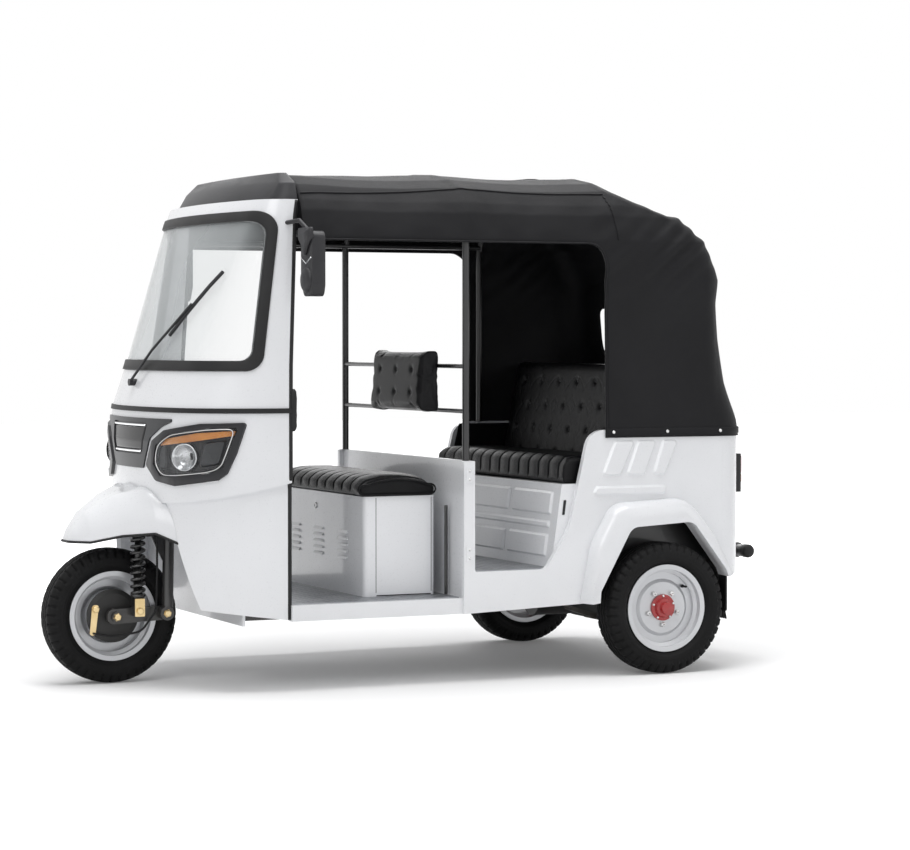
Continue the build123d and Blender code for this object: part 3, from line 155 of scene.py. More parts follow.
def joined(parts):
    """Several (points, faces) lists as one."""
    points, faces, base = [], [], 0
    for p, f in parts:
        points.append(np.asarray(p, float).reshape(-1, 3))
        faces += [[i + base for i in face] for face in as_lists(f)]
        base += len(points[-1])
    return np.concatenate(points), faces


def mirrored(part):
    """The same shape on the other side of the middle plane, with its faces turned back outward."""
    points, faces = part
    return np.asarray(points) * (1, -1, 1), [list(f)[::-1] for f in faces]


def both(part):
    return joined([part, mirrored(part)])


def copies(points, faces, places, frames):
    """One small shape repeated: each copy has a place and a 3 by 3 frame whose rows are its axes."""
    points, places, frames = np.asarray(points, float), np.asarray(places, float), np.asarray(frames, float)
    out = np.einsum("pk,nkj->npj", points, frames) + places[:, None]
    faces = np.asarray(faces)
    shift = np.arange(len(places))[:, None, None] * len(points)
    return out.reshape(-1, 3), (faces[None] + shift).reshape(-1, faces.shape[1]).tolist()


def frames_for(normals, hint=(0.2, 0.9, 0.4)):
    """Frames whose third row is the normal."""
    n = unit(np.asarray(normals, float).reshape(-1, 3))
    a = unit(np.cross(np.broadcast_to(hint, n.shape), n))
    return np.stack([a, np.cross(n, a), n], 1)


# Outlines, bars, plates and fasteners

def eased(points, times=3):
    """Closed outline with its corners cut a quarter in, several times over."""
    p = np.asarray(points, float)
    for _ in range(times):
        q = np.roll(p, -1, 0)
        p = np.stack([0.75 * p + 0.25 * q, 0.25 * p + 0.75 * q], 1).reshape(-1, p.shape[1])
    return p


def trimmed(points, reach):
    """Closed outline whose corners are rounded within a short reach of each corner."""
    p = np.asarray(points, float)
    ahead, behind = np.roll(p, -1, 0) - p, np.roll(p, 1, 0) - p
    length = [np.linalg.norm(v, axis=1, keepdims=True) for v in (behind, ahead)]
    back, on = (unit(v) * np.minimum(reach, 0.4 * n) for v, n in zip((behind, ahead), length))
    return np.stack([p + back, p + 0.29 * (back + on), p + on], 1).reshape(-1, p.shape[1])


def spaced(points, count, closed=False):
    """Straight runs through points, sampled evenly."""
    p = np.asarray(points, float)
    if closed:
        p = np.concatenate([p, p[:1]])
    run = np.concatenate([[0], np.cumsum(np.linalg.norm(np.diff(p, axis=0), axis=1))])
    t = np.linspace(0, run[-1], count, endpoint=not closed)
    return np.stack([np.interp(t, run, p[:, k]) for k in range(p.shape[1])], 1)


def hexagon(across, height):
    """Nut or bolt head: six flats with a chamfered top, standing on its axis."""
    r = across / math.sqrt(3)
    washer = [(0, r * 1.15), (0.12 * height, r * 1.15)]
    head = [(0.12 * height, r), (0.85 * height, r), (height, 0.8 * r), (height, 0)]
    return turned(washer + head, (0, 0, 0), (0, 0, 1), 6)


def dome(radius, height):
    """Rivet or button: a low dome standing on its axis."""
    a = np.concatenate([[0], np.linspace(0, np.pi / 2, 6)])
    return turned(np.column_stack([height * np.sin(a), radius * np.cos(a)]), (0, 0, 0), (0, 0, 1), 14)


def tube(path, radius, sides=8, **how):
    """Round bar along a path."""
    return capped(carried(path, ring(radius, sides), **how), how.get("closed", False))


def strip(path, width, height, bevel, **how):
    """Flat bar along a path."""
    return capped(carried(path, slab(width, height, bevel), **how), how.get("closed", False))


def oblong(a0, a1, b0, b1):
    return ((a0, b0), (a1, b0), (a1, b1), (a0, b1))


def plate(outline, low, high, reach=0.003, axis=1):
    """Flat plate: an outline with rounded corners between two planes across Y, or X when axis is 0."""
    loop = trimmed(outline, reach)
    n = len(loop)
    walls = np.stack([np.insert(loop, axis, level, 1) for level in (low, high)])
    return walls, quads(2, n, False, True).tolist() + [list(range(n))[::-1], list(range(n, 2 * n))]


def side_plate(outline, low, high, reach=0.003):
    """Plate across Y whose outline is given as (station, height)."""
    return plate([(sx(station), z) for station, z in outline], low, high, reach)


def rim_of(rows, cols):
    """Point numbers round the edge of a grid, in order."""
    r, c = np.arange(rows), np.arange(cols)
    return np.concatenate([c, r[1:] * cols + cols - 1, (rows - 1) * cols + c[-2::-1], r[-2:0:-1] * cols])


# Meshes and objects

def vertex_values(mesh, label):
    """Places ("co") or normals ("normal") of a mesh's vertices, three to a row."""
    values = np.empty(len(mesh.vertices) * 3, np.float32)
    mesh.vertices.foreach_get(label, values)
    return values.reshape(-1, 3)


def set_places(mesh, points):
    mesh.vertices.foreach_set("co", points.astype(np.float32).ravel())


def merged(mesh, gap, flat_angle=None):
    """Joins points closer than a gap and, where an angle is given, faces that lie flat within it."""
    bm = bmesh.new()
    bm.from_mesh(mesh)
    bmesh.ops.remove_doubles(bm, verts=bm.verts, dist=gap)
    if flat_angle is not None:
        bmesh.ops.dissolve_limit(bm, angle_limit=flat_angle, verts=bm.verts, edges=bm.edges)
    bm.to_mesh(mesh)
    bm.free()
    return mesh


def new_object(name, data):
    """Object in the scene's own collection."""
    obj = bpy.data.objects.new(name, data)
    bpy.context.scene.collection.objects.link(obj)
    return obj


def dressed(name, mesh, finish, body, smooth=True):
    """Object of a finished mesh, given its finish and set to ride on a body."""
    mesh.polygons.foreach_set("use_smooth", [smooth] * len(mesh.polygons))
    mesh.materials.clear()
    mesh.materials.append(finish)
    mesh.update()
    obj = new_object(name, mesh)
    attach(obj, body)
    return obj


def piece(name, part, slot, body="body", finish=None, smooth=True, uv=None, outward=True):
    """Object from points and faces; its finish is the slot's own unless another is given."""
    points, faces = part
    mesh = bpy.data.meshes.new(name)
    mesh.from_pydata(np.asarray(points, float).reshape(-1, 3).tolist(), [], as_lists(faces))
    if uv is not None:
        layer = mesh.uv_layers.new(name="flat")
        corner = np.empty(len(mesh.loops), np.int32)
        mesh.loops.foreach_get("vertex_index", corner)
        layer.data.foreach_set("uv", np.asarray(uv, np.float32).reshape(-1, 2)[corner].ravel())
    if outward:
        bm = bmesh.new()
        bm.from_mesh(mesh)
        bmesh.ops.remove_doubles(bm, verts=bm.verts, dist=1e-6)
        bmesh.ops.recalc_face_normals(bm, faces=bm.faces)
        bm.to_mesh(mesh)
        bm.free()
    return dressed(name, mesh, finish or FINISH[slot], body, smooth)


# Shader groups

def new_group(name, inputs, outputs):
    """Empty shader group; inputs are (name, default) numbers and outputs are the names of numbers."""
    tree = bpy.data.node_groups.new(name, "ShaderNodeTree")
    for label, value in inputs:
        socket = tree.interface.new_socket(label, in_out="INPUT", socket_type="NodeSocketFloat")
        socket.default_value = value
    for label in outputs:
        tree.interface.new_socket(label, in_out="OUTPUT", socket_type="NodeSocketFloat")
    return tree, tree.nodes.new("NodeGroupInput"), tree.nodes.new("NodeGroupOutput")


def math_node(tree, kind, a, b=None):
    node = tree.nodes.new("ShaderNodeMath")
    node.operation = kind
    for socket, value in zip(node.inputs, (a, b)):
        if value is None:
            continue
        if isinstance(value, (int, float)):
            socket.default_value = value
        else:
            tree.links.new(value, socket)
    return node.outputs[0]


def noise_node(tree, scale, detail=3.0, rough=0.5):
    """Noise over Object coordinates; scale is a number or a socket."""
    place = tree.nodes.new("ShaderNodeTexCoord")
    node = tree.nodes.new("ShaderNodeTexNoise")
    node.inputs["Detail"].default_value = detail
    node.inputs["Roughness"].default_value = rough
    tree.links.new(place.outputs["Object"], node.inputs["Vector"])
    if isinstance(scale, (int, float)):
        node.inputs["Scale"].default_value = scale
    else:
        tree.links.new(scale, node.inputs["Scale"])
    return node.outputs[0]


def group_mottle():
    """Uneven tone: slow noise plus fine noise, about 0.5, used for paint, plastic and rubber."""
    tree, start, end = new_group("mottle", [("Scale", 6.0), ("Fine", 220.0)], ["Tone", "Grain"])
    tree.links.new(noise_node(tree, start.outputs["Scale"], 4.0), end.inputs["Tone"])
    tree.links.new(noise_node(tree, start.outputs["Fine"], 2.0), end.inputs["Grain"])
    return tree


def group_road_dust():
    """Dust mask: strongest near the ground and broken up by noise."""
    tree, start, end = new_group("road_dust", [("Top", 0.5), ("Amount", 0.5)], ["Mask"])
    place = tree.nodes.new("ShaderNodeTexCoord")
    split = tree.nodes.new("ShaderNodeSeparateXYZ")
    tree.links.new(place.outputs["Object"], split.inputs[0])
    share = math_node(tree, "DIVIDE", split.outputs["Z"], start.outputs["Top"])
    low = math_node(tree, "SUBTRACT", 1.0, share)
    low.node.use_clamp = True
    patch = math_node(tree, "MULTIPLY", noise_node(tree, 14.0, 5.0, 0.65), low)
    tree.links.new(math_node(tree, "MULTIPLY", patch, start.outputs["Amount"]), end.inputs["Mask"])
    return tree


def group_hide_grain():
    """Vinyl grain: cell edges of a fine Voronoi pattern softened by noise."""
    tree, start, end = new_group("hide_grain", [("Scale", 420.0)], ["Height", "Tone"])
    place = tree.nodes.new("ShaderNodeTexCoord")
    cells = tree.nodes.new("ShaderNodeTexVoronoi")
    cells.feature = "DISTANCE_TO_EDGE"
    tree.links.new(place.outputs["Object"], cells.inputs["Vector"])
    tree.links.new(start.outputs["Scale"], cells.inputs["Scale"])
    pebble = math_node(tree, "MINIMUM", math_node(tree, "MULTIPLY", cells.outputs["Distance"], 3.0), 0.5)
    soft = math_node(tree, "MULTIPLY", noise_node(tree, 90.0), 0.4)
    tree.links.new(math_node(tree, "ADD", pebble, soft), end.inputs["Height"])
    tree.links.new(noise_node(tree, 9.0, 4.0), end.inputs["Tone"])
    return tree


def group_weave():
    """Plain weave on the piece's own flat coordinates: two crossed sine bands, a thread apart."""
    tree, start, end = new_group("weave", [("Threads", 700.0)], ["Height", "Tone"])
    flat = tree.nodes.new("ShaderNodeUVMap")
    split = tree.nodes.new("ShaderNodeSeparateXYZ")
    tree.links.new(flat.outputs[0], split.inputs[0])
    waves = []
    for label in ("X", "Y"):
        thread = math_node(tree, "MULTIPLY", split.outputs[label], start.outputs["Threads"])
        wave = math_node(tree, "SINE", math_node(tree, "MULTIPLY", thread, math.pi))
        waves.append(math_node(tree, "ABSOLUTE", wave))
    tree.links.new(math_node(tree, "MAXIMUM", waves[0], waves[1]), end.inputs["Height"])
    tree.links.new(noise_node(tree, 3.5, 5.0, 0.6), end.inputs["Tone"])
    return tree


GROUP_MAKERS = (group_mottle, group_road_dust, group_hide_grain, group_weave)
GROUPS = {tree.name: tree for tree in (make() for make in GROUP_MAKERS)}


def place_group(tree, name, **values):
    node = tree.nodes.new("ShaderNodeGroup")
    node.node_tree = GROUPS[name]
    for label, value in values.items():
        node.inputs[label].default_value = value
    return node.outputs


def base_material(name, **sockets):
    """Material with a Principled shader; constants go straight on its sockets."""
    mat = bpy.data.materials.new(name)
    mat.use_nodes = True
    tree = mat.node_tree
    shader = tree.nodes["Principled BSDF"]
    for label, value in sockets.items():
        shader.inputs[label.replace("_", " ")].default_value = value
    return mat, tree, shader


def wired(tree, shader, **sockets):
    """Links each named shader input to an output."""
    for label, output in sockets.items():
        tree.links.new(output, shader.inputs[label.replace("_", " ")])


def two_tone(tree, mask, dark, light, low=0.3, high=0.7):
    """Colour that goes from dark to light as a mask rises from low to high."""
    node = tree.nodes.new("ShaderNodeValToRGB")
    node.color_ramp.elements[0].position, node.color_ramp.elements[1].position = low, high
    node.color_ramp.elements[0].color, node.color_ramp.elements[1].color = (*dark, 1), (*light, 1)
    tree.links.new(mask, node.inputs[0])
    return node.outputs[0]


def graded(tree, mask, low, high):
    """Number that goes from low to high as a mask goes from 0 to 1."""
    node = tree.nodes.new("ShaderNodeMapRange")
    node.inputs["To Min"].default_value, node.inputs["To Max"].default_value = low, high
    tree.links.new(mask, node.inputs["Value"])
    return node.outputs[0]


def dusted(tree, colour, mask, dust):
    node = tree.nodes.new("ShaderNodeMixRGB")
    node.inputs[2].default_value = (*dust, 1)
    tree.links.new(mask, node.inputs[0])
    tree.links.new(colour, node.inputs[1])
    return node.outputs[0]


def bumped(tree, shader, height, distance, strength=1.0):
    node = tree.nodes.new("ShaderNodeBump")
    node.inputs["Distance"].default_value = distance
    node.inputs["Strength"].default_value = strength
    tree.links.new(height, node.inputs["Height"])
    tree.links.new(node.outputs[0], shader.inputs["Normal"])


def paint(name, dark, light, rough, coat, dust=0.0, dust_top=0.45, metal=0.0, peel=0.000012):
    """Sprayed paint: faint tone drift, orange peel in the clear coat, and road dust low down."""
    mat, tree, shader = base_material(name, Coat_Weight=coat, Coat_Roughness=0.06, Metallic=metal)
    mottle = place_group(tree, "mottle", Scale=2.5, Fine=160.0)
    colour = two_tone(tree, mottle["Tone"], dark, light)
    if dust:
        mask = place_group(tree, "road_dust", Top=dust_top, Amount=dust)["Mask"]
        colour = dusted(tree, colour, mask, (0.30, 0.27, 0.23))
    gloss = graded(tree, mottle["Grain"], rough - 0.02, rough + 0.02)
    wired(tree, shader, Base_Color=colour, Roughness=gloss)
    bumped(tree, shader, mottle["Grain"], peel)
    return mat


def moulded(name, dark, light, rough, grain, distance, shine=0.3):
    """Moulded plastic or rubber: fine grain over a slow tone."""
    mat, tree, shader = base_material(name, Specular_IOR_Level=shine)
    mottle = place_group(tree, "mottle", Scale=8.0, Fine=grain)
    colour = two_tone(tree, mottle["Tone"], dark, light)
    gloss = graded(tree, mottle["Grain"], rough - 0.08, rough + 0.08)
    wired(tree, shader, Base_Color=colour, Roughness=gloss)
    bumped(tree, shader, mottle["Grain"], distance)
    return mat


def vinyl(name):
    """Black seat vinyl: pebbled grain, satin, a little lighter in slow random patches."""
    mat, tree, shader = base_material(name, Coat_Weight=0.02, Coat_Roughness=0.35, Specular_IOR_Level=0.14)
    grain = place_group(tree, "hide_grain", Scale=420.0)
    colour = two_tone(tree, grain["Tone"], (0.0035, 0.0035, 0.0042), (0.0075, 0.0075, 0.0085))
    wired(tree, shader, Base_Color=colour, Roughness=graded(tree, grain["Tone"], 0.30, 0.40))
    bumped(tree, shader, grain["Height"], 0.0005, 0.7)
    return mat


def coated_cloth(name):
    """Coated canopy cloth: thread weave, slow fading and faint dust in its tone."""
    mat, tree, shader = base_material(name, Sheen_Weight=0.02, Sheen_Roughness=0.5, Specular_IOR_Level=0.16)
    weave = place_group(tree, "weave", Threads=620.0)
    colour = two_tone(tree, weave["Tone"], (0.0055, 0.0055, 0.0065), (0.010, 0.010, 0.0115))
    wired(tree, shader, Base_Color=colour, Roughness=graded(tree, weave["Tone"], 0.52, 0.66))
    bumped(tree, shader, weave["Height"], 0.00035, 0.6)
    return mat


def bare_metal(name, dark, light, rough, grain=300.0):
    """Plated or bright metal with a faintly uneven surface."""
    mat, tree, shader = base_material(name, Metallic=1.0)
    mottle = place_group(tree, "mottle", Scale=12.0, Fine=grain)
    colour = two_tone(tree, mottle["Tone"], dark, light)
    gloss = graded(tree, mottle["Grain"], rough * 0.8, rough * 1.2)
    wired(tree, shader, Base_Color=colour, Roughness=gloss)
    bumped(tree, shader, mottle["Grain"], 0.00003)
    return mat


def clear(name, colour, rough=0.02, alpha=0.2, rim=0.55):
    """Thin glass or clear plastic: mostly see-through, with a bright gloss and a faint film of dust."""
    mat, tree, shader = base_material(name, IOR=1.45)
    mottle = place_group(tree, "mottle", Scale=3.0, Fine=60.0)
    tint = two_tone(tree, mottle["Tone"], colour, [min(1, c * 1.1) for c in colour])
    wired(tree, shader, Base_Color=tint, Roughness=graded(tree, mottle["Tone"], rough, rough + 0.03))
    edge = tree.nodes.new("ShaderNodeLayerWeight")
    edge.inputs["Blend"].default_value = 0.35
    film = math_node(tree, "ADD", math_node(tree, "MULTIPLY", edge.outputs["Facing"], rim), alpha)
    film.node.use_clamp = True
    wired(tree, shader, Alpha=film)
    mat.surface_render_method = "BLENDED"
    return mat


def glowing_lens(name, dark, light):
    """Coloured lamp plastic with fine optic ribs."""
    mat, tree, shader = base_material(name, Coat_Weight=0.8, Coat_Roughness=0.04, Roughness=0.15)
    mottle = place_group(tree, "mottle", Scale=18.0, Fine=260.0)
    wired(tree, shader, Base_Color=two_tone(tree, mottle["Tone"], dark, light))
    bumped(tree, shader, mottle["Grain"], 0.0004)
    return mat


FINISH = {
    "body_paint": paint("white_paint", (0.80, 0.81, 0.83), (0.85, 0.86, 0.88), 0.28, 0.5, 0.18),
    "frame_black": paint("black_frame_paint", (0.010, 0.010, 0.011), (0.018, 0.018, 0.019),
                         0.38, 0.3, 0.25),
    "spring_steel": paint("dark_spring", (0.02, 0.02, 0.02), (0.04, 0.038, 0.035), 0.5, 0.0, 0.5),
    "spring_black": paint("black_spring", (0.008, 0.008, 0.008), (0.016, 0.016, 0.016), 0.28, 0.5, 0.1),
    "cast_black": paint("black_casting", (0.007, 0.007, 0.007), (0.014, 0.014, 0.014),
                        0.5, 0.0, 0.06, peel=0.0003),
    "floor_plate": bare_metal("tread_plate", (0.26, 0.27, 0.29), (0.35, 0.36, 0.38), 0.40),
    "black_rubber": moulded("black_rubber", (0.006, 0.006, 0.0065), (0.012, 0.012, 0.0125),
                            0.55, 260.0, 0.0001),
    "window_glass": clear("screen_glass", (0.72, 0.76, 0.77), 0.01, 0.07),
    "lamp_glass": clear("lamp_cover", (0.30, 0.31, 0.32), 0.01, 0.03, 0.25),
    "black_plastic": moulded("black_plastic", (0.016, 0.016, 0.018), (0.028, 0.028, 0.031),
                             0.42, 420.0, 0.00015),
    "grey_plastic": moulded("grey_plastic", (0.030, 0.031, 0.034), (0.045, 0.047, 0.050),
                            0.33, 500.0, 0.00004),
    "bright_chrome": bare_metal("chrome", (0.82, 0.83, 0.85), (0.90, 0.90, 0.91), 0.08),
    "amber_plastic": glowing_lens("amber_lens", (0.55, 0.17, 0.01), (0.80, 0.30, 0.02)),
    "red_plastic": glowing_lens("red_lens", (0.32, 0.006, 0.006), (0.52, 0.015, 0.012)),
    "mirror_glass": bare_metal("mirror_silver", (0.86, 0.87, 0.88), (0.9, 0.9, 0.91), 0.02),
    "bright_steel": bare_metal("zinc", (0.50, 0.50, 0.50), (0.66, 0.66, 0.66), 0.3),
    "seat_vinyl": vinyl("seat_vinyl"),
    "canopy_cloth": coated_cloth("canopy_cloth"),
    "tyre_rubber": moulded("tyre_rubber", (0.004, 0.004, 0.004), (0.009, 0.009, 0.0095),
                           0.62, 180.0, 0.0004, 0.15),
    "rim_silver": paint("silver_wheel_paint", (0.52, 0.53, 0.55), (0.62, 0.63, 0.65),
                        0.34, 0.4, 0.1, metal=0.35),
    "hub_red": paint("red_hub_paint", (0.36, 0.014, 0.016), (0.50, 0.025, 0.028), 0.32, 0.4, 0.1),
}
GOLD_ZINC = bare_metal("gold_zinc", (0.62, 0.47, 0.24), (0.78, 0.62, 0.36), 0.3)
LAMP_SILVER = bare_metal("lamp_silver", (0.30, 0.31, 0.32), (0.52, 0.53, 0.54), 0.16)
BEZEL_GREY = moulded("bezel_grey", (0.014, 0.014, 0.016), (0.022, 0.022, 0.025), 0.30, 500.0, 0.00004)
LAMP_DARK = moulded("lamp_housing", (0.010, 0.010, 0.011), (0.020, 0.020, 0.022), 0.25, 600.0, 0.00003)

SLOT_OF = {part["node"]: part["material_slot"] for part in frame["record"]["subparts"]}
OWN_FINISH = {"wheel_houses": FINISH["frame_black"], "headlamp_bezels": BEZEL_GREY,
              "headlamp_reflectors": LAMP_DARK, "tail_lamps": LAMP_DARK}

for name, slot in SLOT_OF.items():
    NODES[name].data.materials.clear()
    NODES[name].data.materials.append(OWN_FINISH.get(name, FINISH[slot]))


# Canopy: one cloth over the roof hoops, with open doorways and a rear window
# Rows: height, back edge behind the axle, half width, corner radius
CANOPY_ROWS = (
    (0.9000, 0.3835, 0.6168, 0.110), (0.9600, 0.3745, 0.6165, 0.110), (1.105, 0.322, 0.611, 0.105),
    (1.271, 0.290, 0.610, 0.100), (1.408, 0.277, 0.610, 0.095), (1.500, 0.284, 0.610, 0.090),
    (1.644, 0.222, 0.616, 0.090), (1.738, 0.118, 0.594, 0.090), (1.778, 0.004, 0.572, 0.090),
    (1.832, -0.128, 0.520, 0.090), (1.866, -0.152, 0.432, 0.090), (1.890, -0.175, 0.292, 0.080),
    (1.900, -0.270, 0.122, 0.060), (1.9005, -0.330, 0.030, 0.020))
CANOPY_FRONT = 1.463
DOOR_REAR = 0.238
DOOR_CORNER = 0.080
HEM_Z = 1.632
WINDOW = {"half": 0.424, "low": 1.199, "high": 1.404, "round": 0.040}
WINDOW_MID = np.array([0, (WINDOW["low"] + WINDOW["high"]) / 2])
WINDOW_STRAIGHT = np.array([WINDOW["half"], (WINDOW["high"] - WINDOW["low"]) / 2]) - WINDOW["round"]
HOOPS = (1.440, 0.807, 0.205)
CLOTH_T = 0.0028
FRONT_TOP = 1.871
GRID_FORE, GRID_AFT, GRID_ARC, GRID_REAR = 60, 36, 12, 36
CURVE_SHARE = 0.3
HOOP_SAG, HOOP_RIDGE, HOOP_WIDTH = 0.009, 0.004, 0.014
# Gathers: depth of the folds, their middle, their spread along and up, and their pitch
SHOULDER = {"depth": 0.007, "station": -0.06, "height": 1.60, "long": 0.13, "tall": 0.13, "pitch": 0.085}
DOOR_HEAD = {"depth": 0.005, "station": 0.20, "height": 1.57, "long": 0.10, "tall": 0.16, "pitch": 0.11}
EAVE_WAVE, EAVE_PITCH = 0.003, 0.19
SIDE_WAVE, BACK_WAVE = 0.0035, 0.0025


def canopy_row(z):
    """Plan measures of the canopy at heights z: mostly straight between rows, as cloth between hoops."""
    table = np.array(CANOPY_ROWS)
    rise, back, half = np.diff(table[:, :3], axis=0).T
    chord = np.concatenate([[0], np.cumsum(np.hypot(rise, half + back))])
    s = np.interp(z, table[:, 0], chord)
    curve = through(np.column_stack([chord, table[:, 1:]]), 400)
    straight = [np.interp(s, chord, table[:, k]) for k in (1, 2, 3)]
    curved = [np.interp(s, curve[:, 0], curve[:, k]) for k in (1, 2, 3)]
    return [(1 - CURVE_SHARE) * a + CURVE_SHARE * b for a, b in zip(straight, curved)]


def travelled(p, axis):
    """Length along a grid's lines of one axis, from each line's start."""
    steps = np.linalg.norm(np.diff(p, axis=axis), axis=2)
    return np.concatenate([np.zeros_like(np.take(steps, [0], axis)), np.cumsum(steps, axis)], axis)


def canopy_sheet():
    """Sheet as a grid: a row is the plan outline at one height, front left round the back to front right.

    Side columns are split at the doorway's rear edge, so the doorway and its rounded corner are whole cells
    that are left out. The cloth sags between hoops and gathers in folds at the rear shoulder and above the
    doorway corner.
    """
    low = np.linspace(CANOPY_ROWS[0][0], HEM_Z - DOOR_CORNER, 62)
    bend = HEM_Z - DOOR_CORNER * (1 - np.sin(np.linspace(0, np.pi / 2, 13)))
    top = np.concatenate([np.linspace(HEM_Z, 1.832, 34), np.linspace(1.832, 1.9, 30)[1:], [1.9003, 1.9005]])
    z = np.unique(np.round(np.concatenate([low, bend, top]), 6))
    back, half, corner = canopy_row(z)
    x0, x1 = sx(-back), np.full(len(z), sx(CANOPY_FRONT))
    lift = np.clip(z - HEM_Z + DOOR_CORNER, 0, DOOR_CORNER)
    split = sx(DOOR_REAR + DOOR_CORNER - np.sqrt(np.maximum(DOOR_CORNER ** 2 - lift ** 2, 0)))
    split = np.minimum(split, x1 - 0.2)
    a = np.linspace(0, 1, GRID_FORE, endpoint=False)[None]
    b = np.linspace(0, 1, GRID_AFT, endpoint=False)[None]
    t = np.linspace(0, np.pi / 2, GRID_ARC, endpoint=False)[None]
    m = np.linspace(1, 0, GRID_REAR, endpoint=False)[None]
    x0c, x1c, sc, hc, rc = (v[:, None] for v in (x0, x1, split, half, corner))
    side_x = [x1c + a * (sc - x1c), sc + b * (x0c + rc - sc)]
    side_y = [hc + 0 * a, hc + 0 * b]
    xs = np.concatenate(side_x + [x0c + rc - rc * np.sin(t), x0c + 0 * m, x0c], 1)
    ys = np.concatenate(side_y + [hc - rc + rc * np.cos(t), (hc - rc) * m, 0 * hc], 1)
    xs = np.concatenate([xs, xs[:, -2::-1]], 1)
    ys = np.concatenate([ys, -ys[:, -2::-1]], 1)
    p = canopy_folds(np.stack([xs, ys, np.broadcast_to(z[:, None], xs.shape)], -1))
    rows, cols = xs.shape
    faces = quads(rows, cols)
    fr, fc = np.divmod(np.arange((rows - 1) * (cols - 1)), cols - 1)
    mid = p.reshape(-1, 3)[faces].mean(1)
    door = ((fc < GRID_FORE) | (fc >= cols - 1 - GRID_FORE)) & (z[fr + 1] <= HEM_Z + 1e-6)
    past = np.maximum(np.abs(mid[:, 1:] - WINDOW_MID) - WINDOW_STRAIGHT, 0)
    side = GRID_FORE + GRID_AFT + GRID_ARC
    glass = (past ** 2).sum(1) < WINDOW["round"] ** 2
    glass &= (fc > side) & (fc < cols - side) & (mid[:, 0] < sx(-0.2))
    run, rise = travelled(p, 1), travelled(p, 0)
    run -= run[:, cols // 2:cols // 2 + 1]
    last = (rows - 1) * cols
    c = np.arange(side)
    ridge = last + np.stack([c, cols - 1 - c, cols - 2 - c, c + 1], 1)
    return p, np.concatenate([faces[~door & ~glass], ridge]), np.stack([run, rise], -1)


def gathered(s, z, spot):
    """Depth of a gather at (station, height), fading in a bell round its spot."""
    along, up = (s - spot["station"]) / spot["long"], (z - spot["height"]) / spot["tall"]
    return spot["depth"] * np.exp(-along ** 2 - up ** 2)


def canopy_folds(p):
    """Sag between hoops and sewn folds, as moves along the sheet's own outward direction."""
    n = unit(np.cross(np.gradient(p, axis=0), np.gradient(p, axis=1)))
    n *= np.where((n * (p - np.array([sx(0.6), 0, 1.3]))).sum(-1, keepdims=True) < 0, -1, 1)
    s, z, side = p[..., 0] - REAR_X, p[..., 2], np.abs(p[..., 1])
    from_hoops = np.abs(s[..., None] - np.array(HOOPS))
    move = -HOOP_SAG * ramp(z, 1.66, 1.80) * ramp(np.min(from_hoops, -1), 0.0, 0.26)
    ridge = np.exp(-(np.min(from_hoops[..., 1:], -1) / HOOP_WIDTH) ** 2) * ramp(z, 1.65, 1.72)
    move += HOOP_RIDGE * ridge
    up, along = z - SHOULDER["height"], s - SHOULDER["station"]
    folds = np.sin((up + 0.85 * along) * 2 * np.pi / SHOULDER["pitch"] + 2 * up)
    move += gathered(s, z, SHOULDER) * folds
    move += gathered(s, z, DOOR_HEAD) * np.sin((z + 0.6 * s) * 2 * np.pi / DOOR_HEAD["pitch"])
    eave = ramp(z, 1.64, 1.69) * (1 - ramp(z, 1.74, 1.82)) * (side > 0.4)
    move += EAVE_WAVE * eave * np.sin(s * 2 * np.pi / EAVE_PITCH + 1.2 * np.sin(s * 9))
    loose = (1 - ramp(z, 1.30, 1.52)) * ramp(z, 0.96, 1.08) * (s > -0.24)
    move += SIDE_WAVE * loose * np.sin(s * 17 + 5 * z + np.sin(9 * z))
    slack = ramp(z, 0.95, 1.05) * (1 - ramp(z, 1.5, 1.65)) * (s < -0.2)
    move += BACK_WAVE * slack * np.sin(p[..., 1] * 13 + 4 * z)
    p = p + n * move[..., None]
    p[..., 2] -= np.maximum(p[..., 2] - FRONT_TOP, 0) * ramp(s, 1.15, 1.45)
    return p


def open_sheet(mesh):
    """Drops the points of left-out cells and turns the sheet's faces outward."""
    bm = bmesh.new()
    bm.from_mesh(mesh)
    bmesh.ops.delete(bm, geom=[v for v in bm.verts if not v.link_faces], context="VERTS")
    bmesh.ops.recalc_face_normals(bm, faces=bm.faces)
    if max(bm.faces, key=lambda f: f.calc_center_median().z).normal.z < 0:
        bmesh.ops.reverse_faces(bm, faces=bm.faces)
    bm.to_mesh(mesh)
    bm.free()


sheet_grid, cells, flat_uv = canopy_sheet()
canopy = piece("canopy_cloth_sheet", (sheet_grid, cells), "canopy_cloth", uv=flat_uv, outward=False)
open_sheet(canopy.data)
wall = canopy.modifiers.new("cloth", "SOLIDIFY")
wall.thickness = CLOTH_T
wall.offset = -1
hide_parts("canopy")


# Cushions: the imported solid, remeshed, blown up by cloth pressure, then sewn
CUSHION_SHRINK = 0.004
PRESSURE, CLOTH_STEPS = 4.0, 20
TOP_LIFT = 0.008
DRIVER_DOME, BENCH_DOME = 0.030, 0.014
SEAM_WIDTH, SEAM_DEPTH, PLEAT_RISE = 0.0040, 0.0050, 0.0012


